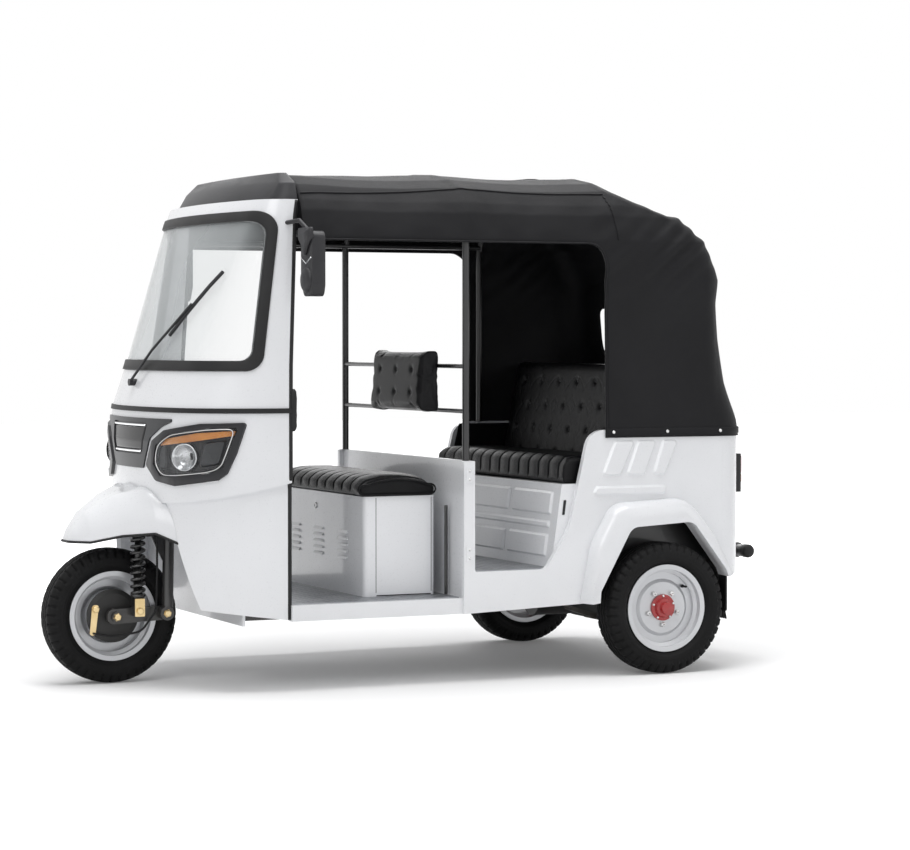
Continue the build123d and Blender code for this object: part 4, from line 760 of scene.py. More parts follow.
def puffed(name, node, voxel, cap, shrink):
    """Mesh of a node's solid after a remesh, cloth pressure held within a cap, and one subdivision."""
    mesh = merged(NODES[node].data.copy(), 1e-5)
    obj = new_object(name + "_form", mesh)
    lo, hi = box_corners(node)
    mid = (lo + hi) / 2
    set_places(mesh, mid + (vertex_values(mesh, "co") - mid) * (1 - 2 * shrink / (hi - lo)))
    remesh = obj.modifiers.new("remesh", "REMESH")
    remesh.mode = "VOXEL"
    remesh.voxel_size = voxel
    bpy.context.view_layer.update()
    start = bpy.data.meshes.new_from_object(obj.evaluated_get(bpy.context.evaluated_depsgraph_get()))
    obj.modifiers.clear()
    obj.data = start
    held = rest = vertex_values(start, "co")
    cloth = obj.modifiers.new("cloth", "CLOTH")
    cloth.settings.use_pressure = True
    cloth.settings.uniform_pressure_force = PRESSURE
    cloth.settings.effector_weights.gravity = 0.0
    cloth.settings.quality = 4
    for step in range(1, CLOTH_STEPS + 1):
        bpy.context.scene.frame_set(step)
    blown = obj.evaluated_get(bpy.context.evaluated_depsgraph_get()).to_mesh()
    moved = vertex_values(blown, "co") - rest
    size = np.maximum(np.linalg.norm(moved, axis=1, keepdims=True), 1e-9)
    held = rest + moved * np.minimum(1, cap / size)
    obj.modifiers.clear()
    bpy.context.scene.frame_set(1)
    set_places(start, held)
    smooth = obj.modifiers.new("fine", "SUBSURF")
    smooth.levels = smooth.render_levels = 1
    bpy.context.view_layer.update()
    done = bpy.data.meshes.new_from_object(obj.evaluated_get(bpy.context.evaluated_depsgraph_get()))
    bpy.data.objects.remove(obj)
    return done


def sewn(name, node, body, voxel, cap, stitch, fill):
    """Cushion object: the puffed form, then stitch(points, normals, low, high) moves its points."""
    mesh = puffed(name, node, voxel, cap, CUSHION_SHRINK)
    places, normals = (vertex_values(mesh, label).astype(float) for label in ("co", "normal"))
    set_places(mesh, stitch(places, normals, *box_corners(node)))
    obj = dressed(name, mesh, FINISH["seat_vinyl"], body)
    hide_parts(node)
    return obj


def channels(y, pitch, reach, width):
    """Depth from 0 to 1 of grooves a pitch apart within a reach of the middle."""
    off = np.abs((y / pitch + 0.5) % 1 - 0.5) * pitch
    return np.exp(-(off / width) ** 2) * (1 - ramp(np.abs(y), reach, reach + 0.004))


def domed(share, off, tip, fall):
    """Rise of a seat's top: a small lift, less a fall that grows off the middle and at the ends."""
    return share * (TOP_LIFT - fall * np.minimum(np.clip(off, 0, 1) ** 2.2 + 0.6 * tip, 1.15))


def pleated(pitch, end, dome):
    """Stitcher of a pleated seat: a domed top, thin seams front to back, and a plain strip at each end.

    The dome takes the top down with the distance from the middle, front to back, and again near the ends.
    """
    def stitch(p, n, lo, hi):
        mid, half = (lo + hi) / 2, (hi - lo) / 2
        share = np.clip((p[:, 2] - lo[2]) / (hi[2] - lo[2]), 0, 1)
        off = np.abs(p - mid) / half
        tip = np.clip((off[:, 1] - 0.72) / 0.28, 0, 1) ** 2
        p = p + np.array([0, 0, 1.0]) * domed(share, off[:, 0], tip, dome)[:, None]
        reach = hi[1] - end
        face = np.clip(ramp(n[:, 2], 0.0, 0.5) + ramp(n[:, 0], 0.3, 0.7), 0, 1)
        face *= ramp(p[:, 2], lo[2] + 0.012, lo[2] + 0.03)
        groove = channels(p[:, 1], pitch, reach, SEAM_WIDTH)
        puff = np.cos((p[:, 1] / pitch) * 2 * np.pi + np.pi) * (np.abs(p[:, 1]) < reach)
        out = p + n * (face * (-SEAM_DEPTH * groove + PLEAT_RISE * puff))[:, None]
        return np.clip(out, lo - (0.002, 0.002, 0.0), hi + (0.006, 0.002, TOP_LIFT))
    return stitch


def button_rows(rows, pitch, reach):
    """Button places (y, z): rows of (height, shift in pitches) filled across within a reach."""
    spots = []
    for z, shift in rows:
        count = np.arange(-12, 13)
        y = (count + shift) * pitch
        y = y[np.abs(y) <= reach]
        spots.append(np.column_stack([y, np.full(len(y), z)]))
    return np.concatenate(spots)


def tufted(spots, depth, spread, fold):
    """Stitcher of a tufted pad: a dimple at each button and shallow folds between the nearest buttons."""
    def stitch(p, n, lo, hi):
        face = ramp(n[:, 0], 0.2, 0.7)
        gap = np.hypot(p[:, 1:2] - spots[None, :, 0], p[:, 2:3] - spots[None, :, 1])
        near = np.sort(gap, 1)
        dimple = np.exp(-(near[:, 0] / spread) ** 2) + 0.55 * np.exp(-(near[:, 0] / (0.4 * spread)) ** 2)
        crease = np.exp(-((near[:, 0] + near[:, 1] - fold) / 0.006) ** 2)
        move = -face * (depth * dimple + 0.16 * depth * crease)
        out = p + n * move[:, None]
        return np.clip(out, lo - 0.002, hi + (0.010, 0.002, 0.004))
    return stitch


BACK_BUTTONS = button_rows(((1.105, 0.0), (1.008, 0.5), (0.911, 0.0), (0.815, 0.5)), 0.157, 0.52)
PAD_LO, PAD_HI = box_corners("driver_back_pad")
PAD_MID = (PAD_LO + PAD_HI) / 2
PAD_STEP = 0.3 * (PAD_HI[1] - PAD_LO[1])
PAD_ROW = 0.043
PAD_BUTTONS = PAD_MID[1:] + np.array([(k * PAD_STEP, row * PAD_ROW) for k in (-1, 0, 1) for row in (1, -1)])

# Cushions: name, node, body, voxel size, cap on the blow-up, stitcher, fill
CUSHIONS = (
    ("driver_seat_cushion", "driver_cushion", "driver_seat", 0.0070, 0.009,
     pleated(0.083, 0.022, DRIVER_DOME), 0.8),
    ("bench_seat_cushion", "passenger_cushion", "body", 0.0078, 0.010,
     pleated(0.086, 0.020, BENCH_DOME), 0.8),
    ("bench_back_cushion", "passenger_backrest", "body", 0.0080, 0.012,
     tufted(BACK_BUTTONS, 0.0085, 0.017, 0.150), 0.7),
    ("driver_back_cushion", "driver_back_pad", "body", 0.0055, 0.010,
     tufted(PAD_BUTTONS, 0.0065, 0.014, 2.0), 0.7))
cushions = {row[0]: sewn(*row) for row in CUSHIONS}


# Tyres: a section turned round the axle, cut by shoulder blocks, ribs and sidewall rings
# Section from the bead to the crown: half width, radius
TYRE_SECTION = ((0.0487, 0.1523), (0.0487, 0.167), (0.052, 0.176), (0.0605, 0.184), (0.0632, 0.196),
                (0.064, 0.209), (0.0625, 0.222), (0.0590, 0.234), (0.0520, 0.2425), (0.0440, 0.2470),
                (0.0250, 0.2492), (0.0, 0.25))
SECTION_HALF, SECTION_R, BEAD_HALF = 0.064, 0.25, 0.0487
TREAD_DEPTH, LONG_GROOVES = 0.0065, (-0.30, 0.0, 0.30)
WALL_RINGS, RING_PROUD, RIB_PROUD = (0.196, 0.176), 0.0016, 0.0011
TREAD_BLOCKS = 44


def tread_tyre(name, node, body, blocks):
    """Tyre surface: angle round the axle by place across the section.

    The surface goes in by the tread depth in the long grooves and in the slots between shoulder blocks, and
    stands out in thin sidewall rings and ribs; block edges are where a smooth step passes one half.
    """
    lo, hi = box_corners(node)
    mid, half, outer = (lo + hi) / 2, (hi[1] - lo[1]) / 2, (hi[2] - lo[2]) / 2
    side = np.array(TYRE_SECTION) * (half / SECTION_HALF, outer / SECTION_R)
    side[:2, 0] = BEAD_HALF
    whole = np.concatenate([side, side[-2::-1] * (-1, 1)])
    section = through(whole, 108)
    step = np.array([0, 0.10, 0.20, 0.30, 0.36, 0.40, 0.52, 0.64, 0.68, 0.74, 0.84, 0.92])
    angle = ((np.arange(blocks)[:, None] + step) / blocks).ravel() * 2 * np.pi
    across, radius = section[:, 0], section[:, 1]
    outward = unit(np.column_stack([-np.gradient(radius), np.gradient(across)]))
    outward *= np.sign((outward * np.column_stack([across, radius - 0.8 * outer])).sum(1, keepdims=True))
    turn = (angle * blocks / (2 * np.pi))[:, None]
    edge = np.abs(across)[None] / half
    slot_at = np.abs(((turn + 0.22 * edge * np.sign(across)[None] - 0.52 + 0.5) % 1) - 0.5)
    shoulder = ramp(edge, 0.55, 0.60) * ramp(radius[None], outer - 0.034, outer - 0.024)
    slot = (1 - ramp(slot_at, 0.09, 0.14)) * shoulder
    crown = (1 - ramp(edge, 0.72, 0.80))
    zig = 0.035 * np.sin(2 * np.pi * turn)
    place = across[None] / half - zig
    groove = crown * sum(1 - ramp(np.abs(place - at), 0.030, 0.055) for at in LONG_GROOVES)
    sipe_at = np.abs(((turn * 2 + 0.5 * edge) % 1) - 0.5)
    sipe = 0.4 * (1 - ramp(sipe_at, 0.05, 0.11)) * ramp(edge, 0.36, 0.40) * (1 - ramp(edge, 0.50, 0.54))
    depth = TREAD_DEPTH * np.clip(slot + groove + sipe, 0, 1)
    wall = (1 - ramp(radius, outer - 0.036, outer - 0.028))
    ring_at = sum(np.exp(-((radius - at * outer / SECTION_R) / 0.0016) ** 2) for at in WALL_RINGS)
    rib = 0.5 + 0.5 * np.cos(2 * np.pi * turn * 2)
    rib_at = np.exp(-((radius - outer * 0.852) / 0.008) ** 2)
    proud = wall * (RING_PROUD * ring_at + RIB_PROUD * rib * rib_at)
    move = (proud - depth)[..., None] * outward[None]
    a = across[None] + move[..., 0]
    r = np.minimum(radius[None] + move[..., 1], outer)
    p = np.stack([mid[0] + r * np.cos(angle)[:, None], mid[1] + a, mid[2] + r * np.sin(angle)[:, None]], -1)
    obj = piece(name, (p, quads(len(angle), len(section), True, True)), "tyre_rubber", body)
    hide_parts(node)


for name, node, body in (("front_tread_tyre", "front_tyre", "front_wheel"),
                         ("left_tread_tyre", "rear_tyre_left", "rear_wheel_left"),
                         ("right_tread_tyre", "rear_tyre_right", "rear_wheel_right")):
    tread_tyre(name, node, body, TREAD_BLOCKS)


# Cowl plan: height, nose behind the front axle, half width, centre radius, rear edge, side flat
NOSE_ROWS = ((0.640, 0.088, 0.600, 1.400, 0.495, 0.043), (0.900, 0.073, 0.600, 1.400, 0.495, 0.043),
             (1.007, 0.084, 0.600, 1.400, 0.495, 0.043), (1.025, 0.088, 0.600, 1.400, 0.495, 0.040),
             (1.175, 0.142, 0.597, 1.450, 0.497, 0.012), (1.715, 0.325, 0.567, 1.900, 0.525, 0.004),
             (1.775, 0.355, 0.563, 2.200, 0.534, 0.004))


def cowl_gap(x, y, z):
    """Signed distance outside the nose plan at height z: a centre arc, tangent corner arcs and side flats."""
    rows = np.array(NOSE_ROWS)
    nose, half, big, rear, flat = (np.interp(z, rows[:, 0], rows[:, k]) for k in range(1, 6))
    tip, start = FRONT_X - nose, FRONT_X - rear + flat
    reach = start - tip + big
    corner = (big ** 2 - reach ** 2 - half ** 2) / (2 * (big - half))
    px, py = x - (tip - big), np.abs(y)
    in_centre = py * reach < px * (half - corner)
    at_corner = np.hypot(x - start, py - (half - corner)) - corner
    return np.where(in_centre, np.hypot(px, py) - big, np.where(x > start, at_corner, py - half))


def onto_cowl(origin, way, proud):
    """Points moved along a level direction until they stand a given height off the cowl skin."""
    origin, way = np.asarray(origin, float), np.asarray(way, float)
    low, high = np.full(len(origin), -0.7), np.full(len(origin), 0.9)
    for _ in range(44):
        mid = (low + high) / 2
        p = origin + mid[:, None] * way
        out = cowl_gap(p[:, 0], p[:, 1], p[:, 2]) > 0
        low, high = np.where(out, low, mid), np.where(out, mid, high)
    return origin + (low + proud)[:, None] * way


def on_nose(y, z, proud=0.0):
    """Points on the nose skin at (y, z), found straight along X."""
    y = np.atleast_1d(np.asarray(y, float))
    z = np.broadcast_to(np.asarray(z, float), y.shape)
    return onto_cowl(np.column_stack([np.full(len(y), sx(1.6)), y, z]), (1.0, 0.0, 0.0), proud)


LAMP_WAY = np.array([math.sqrt(0.5), math.sqrt(0.5), 0.0])
LAMP_ACROSS = np.array([-math.sqrt(0.5), math.sqrt(0.5), 0.0])


def on_lamp(u, z, proud=0.0):
    """Points of the left lamp at (u across, z up), found along the lamp's own facing."""
    u = np.atleast_1d(np.asarray(u, float))
    z = np.broadcast_to(np.asarray(z, float), u.shape)
    origin = np.array([sx(1.8), 0, 0]) + u[:, None] * LAMP_ACROSS + z[:, None] * np.array([0, 0, 1.0])
    return onto_cowl(origin, LAMP_WAY, proud)


# Lamps and nose
LENS = ((0.100, 0.820), (0.119, 0.889), (0.194, 0.931), (0.363, 0.953), (0.478, 0.958), (0.425, 0.812),
        (0.373, 0.793), (0.219, 0.777), (0.140, 0.776))
LENS_REACH = 0.12
LAMP_BACK = -0.0215
BOWL = ((0.0185, 0.050), (0.0205, 0.048), (0.0185, 0.045), (0.010, 0.037), (0.004, 0.029), (0.0015, 0.020),
        (0.0015, 0.0))
EYE = ((0.002, 0.018), (0.008, 0.018), (0.0125, 0.0155), (0.0165, 0.009), (0.0180, 0.0))
# Panels on the lamp's back wall: name, height, outline
LAMP_PANELS = (
    ("headlamp_side_panels", 0.010, ((0.318, 0.812), (0.340, 0.902), (0.430, 0.914), (0.402, 0.822))),
    ("headlamp_inner_panels", 0.012, ((0.120, 0.800), (0.130, 0.878), (0.160, 0.900), (0.158, 0.800))))
# Bright strips of the grille: half length, height
GRILLE_STRIPS = ((0.178, 0.958), (0.146, 0.862))
# Lower edge of the mudguard: ahead of the front axle, half width, height
GUARD_EDGE = ((-0.150, 0.362, 0.534), (-0.084, 0.296, 0.568), (0.010, 0.202, 0.556), (0.105, 0.118, 0.530),
              (0.150, 0.068, 0.530), (0.167, 0.040, 0.530))
# Rear edge of the cowl: height, behind the front axle, half width
EDGE_ROWS = ((0.264, 0.495, 0.586), (0.745, 0.495, 0.588), (0.768, 0.495, 0.600), (1.025, 0.495, 0.600),
             (1.175, 0.497, 0.597), (1.715, 0.525, 0.567), (1.772, 0.534, 0.563))
# Door latch boot: height, radius
BOOT = ((0.942, 0.004), (0.950, 0.010), (0.960, 0.0125), (0.985, 0.0115), (1.000, 0.0125), (1.015, 0.0115),
        (1.060, 0.0125), (1.085, 0.010), (1.094, 0.004))


def lens_line(inset, proud):
    """Closed line inside the lens outline, drawn in towards its middle."""
    p = np.array(LENS)
    mid = p.mean(0)
    p = mid + (p - mid) * (1 - inset / LENS_REACH)
    p = spaced(eased(trimmed(p, 0.022), 2), 120, True)
    return on_lamp(p[:, 0], p[:, 1], proud)


def lamp_panel(outline, height):
    """Raised panel on the lamp's back wall: its outline, a slope inwards and a flat face."""
    count = 40
    foot = spaced(eased(trimmed(outline, 0.012), 1), count, True)
    mid = foot.mean(0)
    head = mid + (foot - mid) * 0.86
    rings = np.stack([on_lamp(*foot.T, LAMP_BACK), on_lamp(*head.T, LAMP_BACK + height)])
    return rings, quads(2, count, False, True).tolist() + [list(range(count, 2 * count))]


def nose_plate(low, high, back, front):
    """Plain plate on the nose between two edges of (half width, height), bowed with the nose skin."""
    rows, cols = 12, 30
    z = np.linspace(low[1], high[1], rows)
    half = np.interp(z, (low[1], high[1]), (low[0], high[0]))
    y = half[:, None] * np.linspace(-1, 1, cols)
    zz = np.broadcast_to(z[:, None], y.shape)
    walls = np.concatenate([on_nose(y.ravel(), zz.ravel(), proud) for proud in (back, front)])
    face, rim, count = quads(rows, cols), rim_of(rows, cols), rows * cols
    onward = np.roll(rim, -1)
    edge = np.stack([rim, onward, onward + count, rim + count], 1)
    return walls, np.concatenate([face, face[:, ::-1] + count, edge])


lens_edge = tube(lens_line(0.006, 0.0095), 0.0022, 6, up=LAMP_WAY, closed=True)
piece("headlamp_bright_lines", both(lens_edge), "bright_steel")
bowl_at = on_lamp(0.262, 0.848, -0.020)[0]
piece("headlamp_bowls", both(turned(BOWL, bowl_at, LAMP_WAY, 40)), "bright_chrome", finish=LAMP_SILVER)
piece("headlamp_eyes", both(turned(EYE, bowl_at, LAMP_WAY, 28)), "lamp_glass")
for name, height, outline in LAMP_PANELS:
    piece(name, both(lamp_panel(outline, height)), "grey_plastic", smooth=False)
strip_paths = [on_nose(np.linspace(-half, half, 40), z, 0.0045) for half, z in GRILLE_STRIPS]
strips = [strip(path, 0.005, 0.007, 0.001) for path in strip_paths]
piece("grille_bright_strips", joined(strips), "bright_chrome")
plain_plate = nose_plate((0.150, 0.868), (0.178, 0.952), -0.0015, 0.0022)
piece("grille_plain_plate", plain_plate, "black_plastic", finish=LAMP_DARK)
guard_left = np.array([(FRONT_X + ahead, half, z - 0.001) for ahead, half, z in GUARD_EDGE])
guard_path = spaced(np.concatenate([guard_left, guard_left[::-1] * (1, -1, 1)]), 150)
piece("mudguard_edge_trim", tube(guard_path, 0.0048, 10), "black_rubber")
edge_path = spaced([(FRONT_X - back, half, z) for z, back, half in EDGE_ROWS], 120)
edge_shape = slab(0.021, 0.016, 0.003) + (-0.0085, 0.004)
piece("cowl_edge_trims", both(capped(carried(edge_path, edge_shape, up=(1, 0, 0)))), "black_rubber")
boot_path = [(sx(1.497), CAB_Y - 0.004, z) for z, radius in BOOT]
boot_size = [radius for z, radius in BOOT]
piece("door_latch_boots", both(tube(boot_path, 1.0, 14, up=(1, 0, 0), scale=boot_size)), "black_rubber")


# Canopy sewing

def on_canopy(station, z, proud):
    """Points of the left side of the sheet, read between its grid lines and pushed outward."""
    heights = sheet_grid[:, GRID_FORE + 2, 2]
    row = np.interp(z, heights, np.arange(len(heights)))
    r = np.clip(row.astype(int), 0, len(heights) - 2)
    x = sx(station)
    side = sheet_grid[:, :GRID_FORE + GRID_AFT]
    c = np.clip(GRID_FORE + GRID_AFT - 1 - (side[r, :, 0] < x[:, None]).sum(1), 0, GRID_FORE + GRID_AFT - 2)
    xa, xb = side[r, c, 0], side[r, c + 1, 0]
    f = np.clip((xa - x) / np.maximum(xa - xb, 1e-9), 0, 1)[:, None]
    g = (row - r)[:, None]
    low, high = ((1 - f) * side[k, c] + f * side[k, c + 1] for k in (r, r + 1))
    return (1 - g) * low + g * high + np.array([0, proud, proud * 0.4])


def between(share, path):
    """Rows of a path at shares of its steps."""
    steps = np.linspace(0, 1, len(path))
    return np.stack([np.interp(share, steps, path[:, k]) for k in range(3)], 1)


def window_loop(reach, count):
    """Closed (y, z) line round the rear window, its corners arcs of a given reach."""
    way = np.concatenate([np.linspace(0, np.pi / 2, 9) + k * np.pi / 2 for k in range(4)])
    corner = np.repeat([(1, 1), (-1, 1), (-1, -1), (1, -1)], 9, 0)
    loop = WINDOW_MID + corner * WINDOW_STRAIGHT + reach * np.column_stack([np.cos(way), np.sin(way)])
    return spaced(loop, count, True)


seam_s = np.linspace(1.455, 0.215, 130)
seam_z = np.interp(seam_s, (0.21, 0.80, 1.46), (1.818, 1.826, 1.796))
seam = tube(on_canopy(seam_s, seam_z, 0.001), 0.0034)
drop_z = np.linspace(1.818, 1.645, 40)
drop_s = np.interp(drop_z, (1.64, 1.82), (0.186, 0.212))
drop = tube(on_canopy(drop_s, drop_z, 0.001), 0.0026, up=(0, 1, 0))
piece("canopy_piping", both(joined([seam, drop])), "canopy_cloth")

door_edge = sheet_grid[sheet_grid[:, GRID_FORE, 2] <= HEM_Z + 0.004, GRID_FORE]
hem_line = sheet_grid[np.argmin(np.abs(sheet_grid[:, 4, 2] - HEM_Z)), GRID_FORE - 1:0:-1]
hem_path = spaced(np.concatenate([door_edge, hem_line]), 260)
piece("canopy_door_hems", both(strip(hem_path, 0.007, 0.013, 0.0025, up=(0, 1, 0))), "canopy_cloth")

skirt_path = spaced(sheet_grid[1, GRID_FORE:-GRID_FORE], 260) + (0, 0, 0.011)
skirt_mid = skirt_path.mean(0)
out_way = unit(unit(skirt_path - skirt_mid) * (1, 1, 0))
piece("canopy_skirt_band", strip(skirt_path + 0.0012 * out_way, 0.0055, 0.026, 0.0022), "canopy_cloth")

snap_share = np.linspace(0.012, 0.988, 11)
snap_at = between(snap_share, skirt_path)
snap_way = between(snap_share, unit(np.cross(np.gradient(skirt_path, axis=0), (0, 0, 1))))
snap_way *= np.sign((snap_way * (snap_at - skirt_mid)).sum(1, keepdims=True))
snaps = copies(*dome(0.0068, 0.0045), snap_at + 0.0038 * snap_way, frames_for(snap_way))
piece("canopy_snaps", snaps, "bright_steel")

border_y, border_z = window_loop(WINDOW["round"] + 0.010, 150).T
border_back = np.interp(border_z, [row[0] for row in CANOPY_ROWS], [row[1] for row in CANOPY_ROWS])
border_path = np.column_stack([sx(-border_back) - 0.001, border_y, border_z])
border = strip(border_path, 0.030, 0.005, 0.002, up=(1, 0, 0), closed=True)
piece("rear_window_border", border, "canopy_cloth")


# Seat sewing: buttons set into the dimples, piping round the plain ends

def on_front(obj, spots):
    """Places on a cushion's front at (y, z) spots, read from its nearest front-facing point."""
    p = vertex_values(obj.data, "co")[vertex_values(obj.data, "normal")[:, 0] > 0.25]
    near = np.argmin(((p[None, :, 1:] - spots[:, None]) ** 2).sum(-1), 1)
    return np.column_stack([p[near, 0], spots])


def end_piping(node, inset, radius, fall):
    """Piping round both ends of a domed seat: its side profile as a loop, taken down as the seat's end is."""
    lo, hi = box_corners(node)
    loop = trimmed(oblong(lo[0] + 0.004, hi[0], lo[2] + 0.006, hi[2]), 0.026)
    x, z = spaced(eased(loop, 2), 120, True).T
    off = np.abs(x - (lo[0] + hi[0]) / 2) / ((hi[0] - lo[0]) / 2)
    share = np.clip((z - lo[2]) / (hi[2] - lo[2]), 0, 1)
    path = np.column_stack([x, np.full(len(x), hi[1] - inset), z + domed(share, off, 1, fall)])
    return both(tube(path, radius, up=(0, 1, 0), closed=True))


# Buttons: name, cushion, spots, facing
BUTTONS = (("bench_buttons", "bench_back_cushion", BACK_BUTTONS, np.array([0.977, 0.0, 0.2137])),
           ("driver_pad_buttons", "driver_back_cushion", PAD_BUTTONS, np.array([1.0, 0, 0.08])))
for name, cushion, spots, way in BUTTONS:
    seats = on_front(cushions[cushion], spots) - 0.0005 * way
    ways = np.tile(way, (len(spots), 1))
    piece(name, copies(*dome(0.0085, 0.0055), seats, frames_for(ways)), "seat_vinyl", finish=LAMP_DARK)
driver_piping = end_piping("driver_cushion", 0.004, 0.0034, DRIVER_DOME)
piece("driver_seat_piping", driver_piping, "seat_vinyl", "driver_seat")


# Wheels
NUT_CIRCLE = 0.065
VALVE_RADII = np.array([7, 6.5, 5, 4.2, 4.2, 4.6, 4.6, 3.6]) * 1e-3
# Wheels: name, rim node, body, outer side, disc face from the middle, circle of the cap bolts
WHEELS = (("rear_left", "rear_rim_left", "rear_wheel_left", 1, 0.0212, 0.0442),
          ("rear_right", "rear_rim_right", "rear_wheel_right", -1, 0.0212, 0.0442),
          ("front", "front_rim", "front_wheel", -1, 0.0252, 0.0))


def wheel_fittings(name, node, body, side, face, cap_circle):
    """Five nuts on the disc, small bolts on the cap and a valve, all set out on circles about the axle."""
    lo, hi = box_corners(node)
    mid = (lo + hi) / 2
    out = np.array([0, side, 0.0])
    seat = mid + out * face
    ways = frames_for(np.tile(out, (5, 1)))

    def circle(radius, turn):
        a = np.arange(5) * 2 * np.pi / 5 - np.pi / 2 + turn
        return seat + radius * np.column_stack([np.cos(a), np.zeros(5), np.sin(a)])

    nuts = copies(*hexagon(0.017, 0.013), circle(NUT_CIRCLE, 0), ways)
    studs = copies(*dome(0.0045, 0.021), circle(NUT_CIRCLE, 0), ways)
    piece(name + "_nuts", joined([nuts, studs]), "bright_steel", body, smooth=False)
    if cap_circle:
        caps = copies(*hexagon(0.008, 0.006), circle(cap_circle, 0.6) + out * 0.0070, ways)
        piece(name + "_cap_bolts", caps, "bright_steel", body, smooth=False)
    root = mid + out * (face - 0.004) + np.array([-0.088, 0, 0.078])
    stem = root + out * np.linspace(0, 0.034, len(VALVE_RADII))[:, None]
    piece(name + "_valve", tube(stem, 1.0, 10, up=(0.6, 0, 0.8), scale=VALVE_RADII), "black_rubber", body)


for wheel in WHEELS:
    wheel_fittings(*wheel)


# Front suspension: coil spring unit, gold brake lever and clevis, bright bolts
SHOCK_LO, SHOCK_HI = box_corners("shock")
SHOCK_X, SHOCK_Y = ((SHOCK_LO + SHOCK_HI) / 2)[:2]
SHOCK_LONG = SHOCK_HI[2] - SHOCK_LO[2]
COIL_TURNS, COIL_R, WIRE_R = 8.5, 0.0230, 0.0062
# Damper: height above its foot, radius; then depth below its head, radius
DAMPER_LOW = ((0, 0), (0, 0.020), (0.030, 0.022), (0.034, 0.029), (0.042, 0.029), (0.043, 0.0165),
              (0.140, 0.0165), (0.142, 0.012))
DAMPER_HIGH = ((0.030, 0.012), (0.029, 0.020), (0.022, 0.029), (0.002, 0.029), (0, 0.026), (0, 0))
# Brake lever: ahead of and above the front axle
LEVER_OUTLINE = ((0.058, 0.044), (0.084, 0.044), (0.094, -0.068), (0.072, -0.068))

turn = np.linspace(0, COIL_TURNS * 2 * np.pi, 240)
coil_z = np.linspace(SHOCK_LO[2] + 0.046, SHOCK_HI[2] - 0.024, 240)
coil_path = np.column_stack([SHOCK_X + COIL_R * np.cos(turn), SHOCK_Y + COIL_R * np.sin(turn), coil_z])
spring = piece("front_coil_spring", tube(coil_path, WIRE_R, 10), "spring_black", "steering")
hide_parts("shock")
damper_line = DAMPER_LOW + tuple((SHOCK_LONG - down, radius) for down, radius in DAMPER_HIGH)
damper = turned(damper_line, (SHOCK_X, SHOCK_Y, SHOCK_LO[2]), (0, 0, 1), 30)
piece("front_damper", damper, "spring_black", "steering")
lever = plate([(FRONT_X + a, TYRE_R + h) for a, h in LEVER_OUTLINE], 0.0622, 0.0655, 0.009)
clevis_face = SHOCK_Y + 0.0245
clevis = plate(oblong(SHOCK_X - 0.019, SHOCK_X + 0.019, 0.252, 0.318), clevis_face - 0.004, clevis_face)
piece("front_gold_fittings", joined([lever, clevis]), "bright_steel", "steering", GOLD_ZINC, smooth=False)
bolt_spots = ((FRONT_X, 0.1045, TYRE_R), (sx(1.816), 0.1352, 0.259), (SHOCK_X, clevis_face, 0.272),
              (FRONT_X + 0.071, 0.0655, TYRE_R + 0.028))
bolts = copies(*hexagon(0.023, 0.011), bolt_spots, frames_for(np.tile([0.0, 1.0, 0.0], (4, 1))))
piece("front_bolts", bolts, "bright_steel", "steering", GOLD_ZINC, smooth=False)


# Floor: raised tread marks, turned by turns each way
PLATE_LO, PLATE_HI = box_corners("floor_plates")
CAB_FLOOR, REAR_STEP = PLATE_LO[2] + 0.003, PLATE_HI[2]
MARK_PITCH = 0.031
MARK_HALF = np.array([(-0.0125, 0), (-0.006, 0.0036), (0.006, 0.0036)])
MARK = np.concatenate([MARK_HALF, -MARK_HALF])
# Areas: first and last station, right and left edge, height
TREAD_AREAS = ((1.175, 1.490, -0.56, 0.56, CAB_FLOOR), (1.500, 1.650, -0.52, 0.52, CAB_FLOOR),
               (0.850, 1.170, 0.455, 0.565, CAB_FLOOR), (0.850, 1.170, -0.565, -0.455, CAB_FLOOR),
               (0.475, 0.775, -0.57, 0.57, REAR_STEP))


def tread_marks(s0, s1, y0, y1, z):
    """Low pointed marks in a checker, one set at each slant."""
    first, last = MARK_PITCH / 2, MARK_PITCH / 3
    runs = [np.arange(a + first, b - last, MARK_PITCH) for a, b in ((s0, s1), (y0, y1))]
    s, y = np.meshgrid(*runs, indexing="ij")
    odd = (np.indices(s.shape).sum(0) % 2).ravel() == 1
    spot = np.column_stack([sx(s.ravel()), y.ravel(), np.full(s.size, z)])
    a = np.where(odd, math.radians(45), math.radians(-45))
    along = np.stack([np.cos(a), np.sin(a), 0 * a], 1)
    across = np.stack([-np.sin(a), np.cos(a), 0 * a], 1)
    frames = np.stack([along, across, np.tile([0, 0, 1.0], (len(a), 1))], 1)
    foot = np.column_stack([MARK, np.full(6, -0.0004)])
    head = np.column_stack([MARK * 0.62, np.full(6, 0.0013)])
    sides = [[i, (i + 1) % 6, (i + 1) % 6 + 6, i + 6] for i in range(6)]
    ends = [[6, 11, 10, 9], [6, 9, 8, 7], [0, 1, 2, 3], [0, 3, 4, 5]]
    return copies(np.concatenate([foot, head]), sides + ends, spot, frames)


marks = joined([tread_marks(*area) for area in TREAD_AREAS])
piece("floor_tread_marks", marks, "floor_plate", smooth=False)


# Tail lenses and small fittings
LAMP_LO, LAMP_HI = box_corners("tail_lamps")
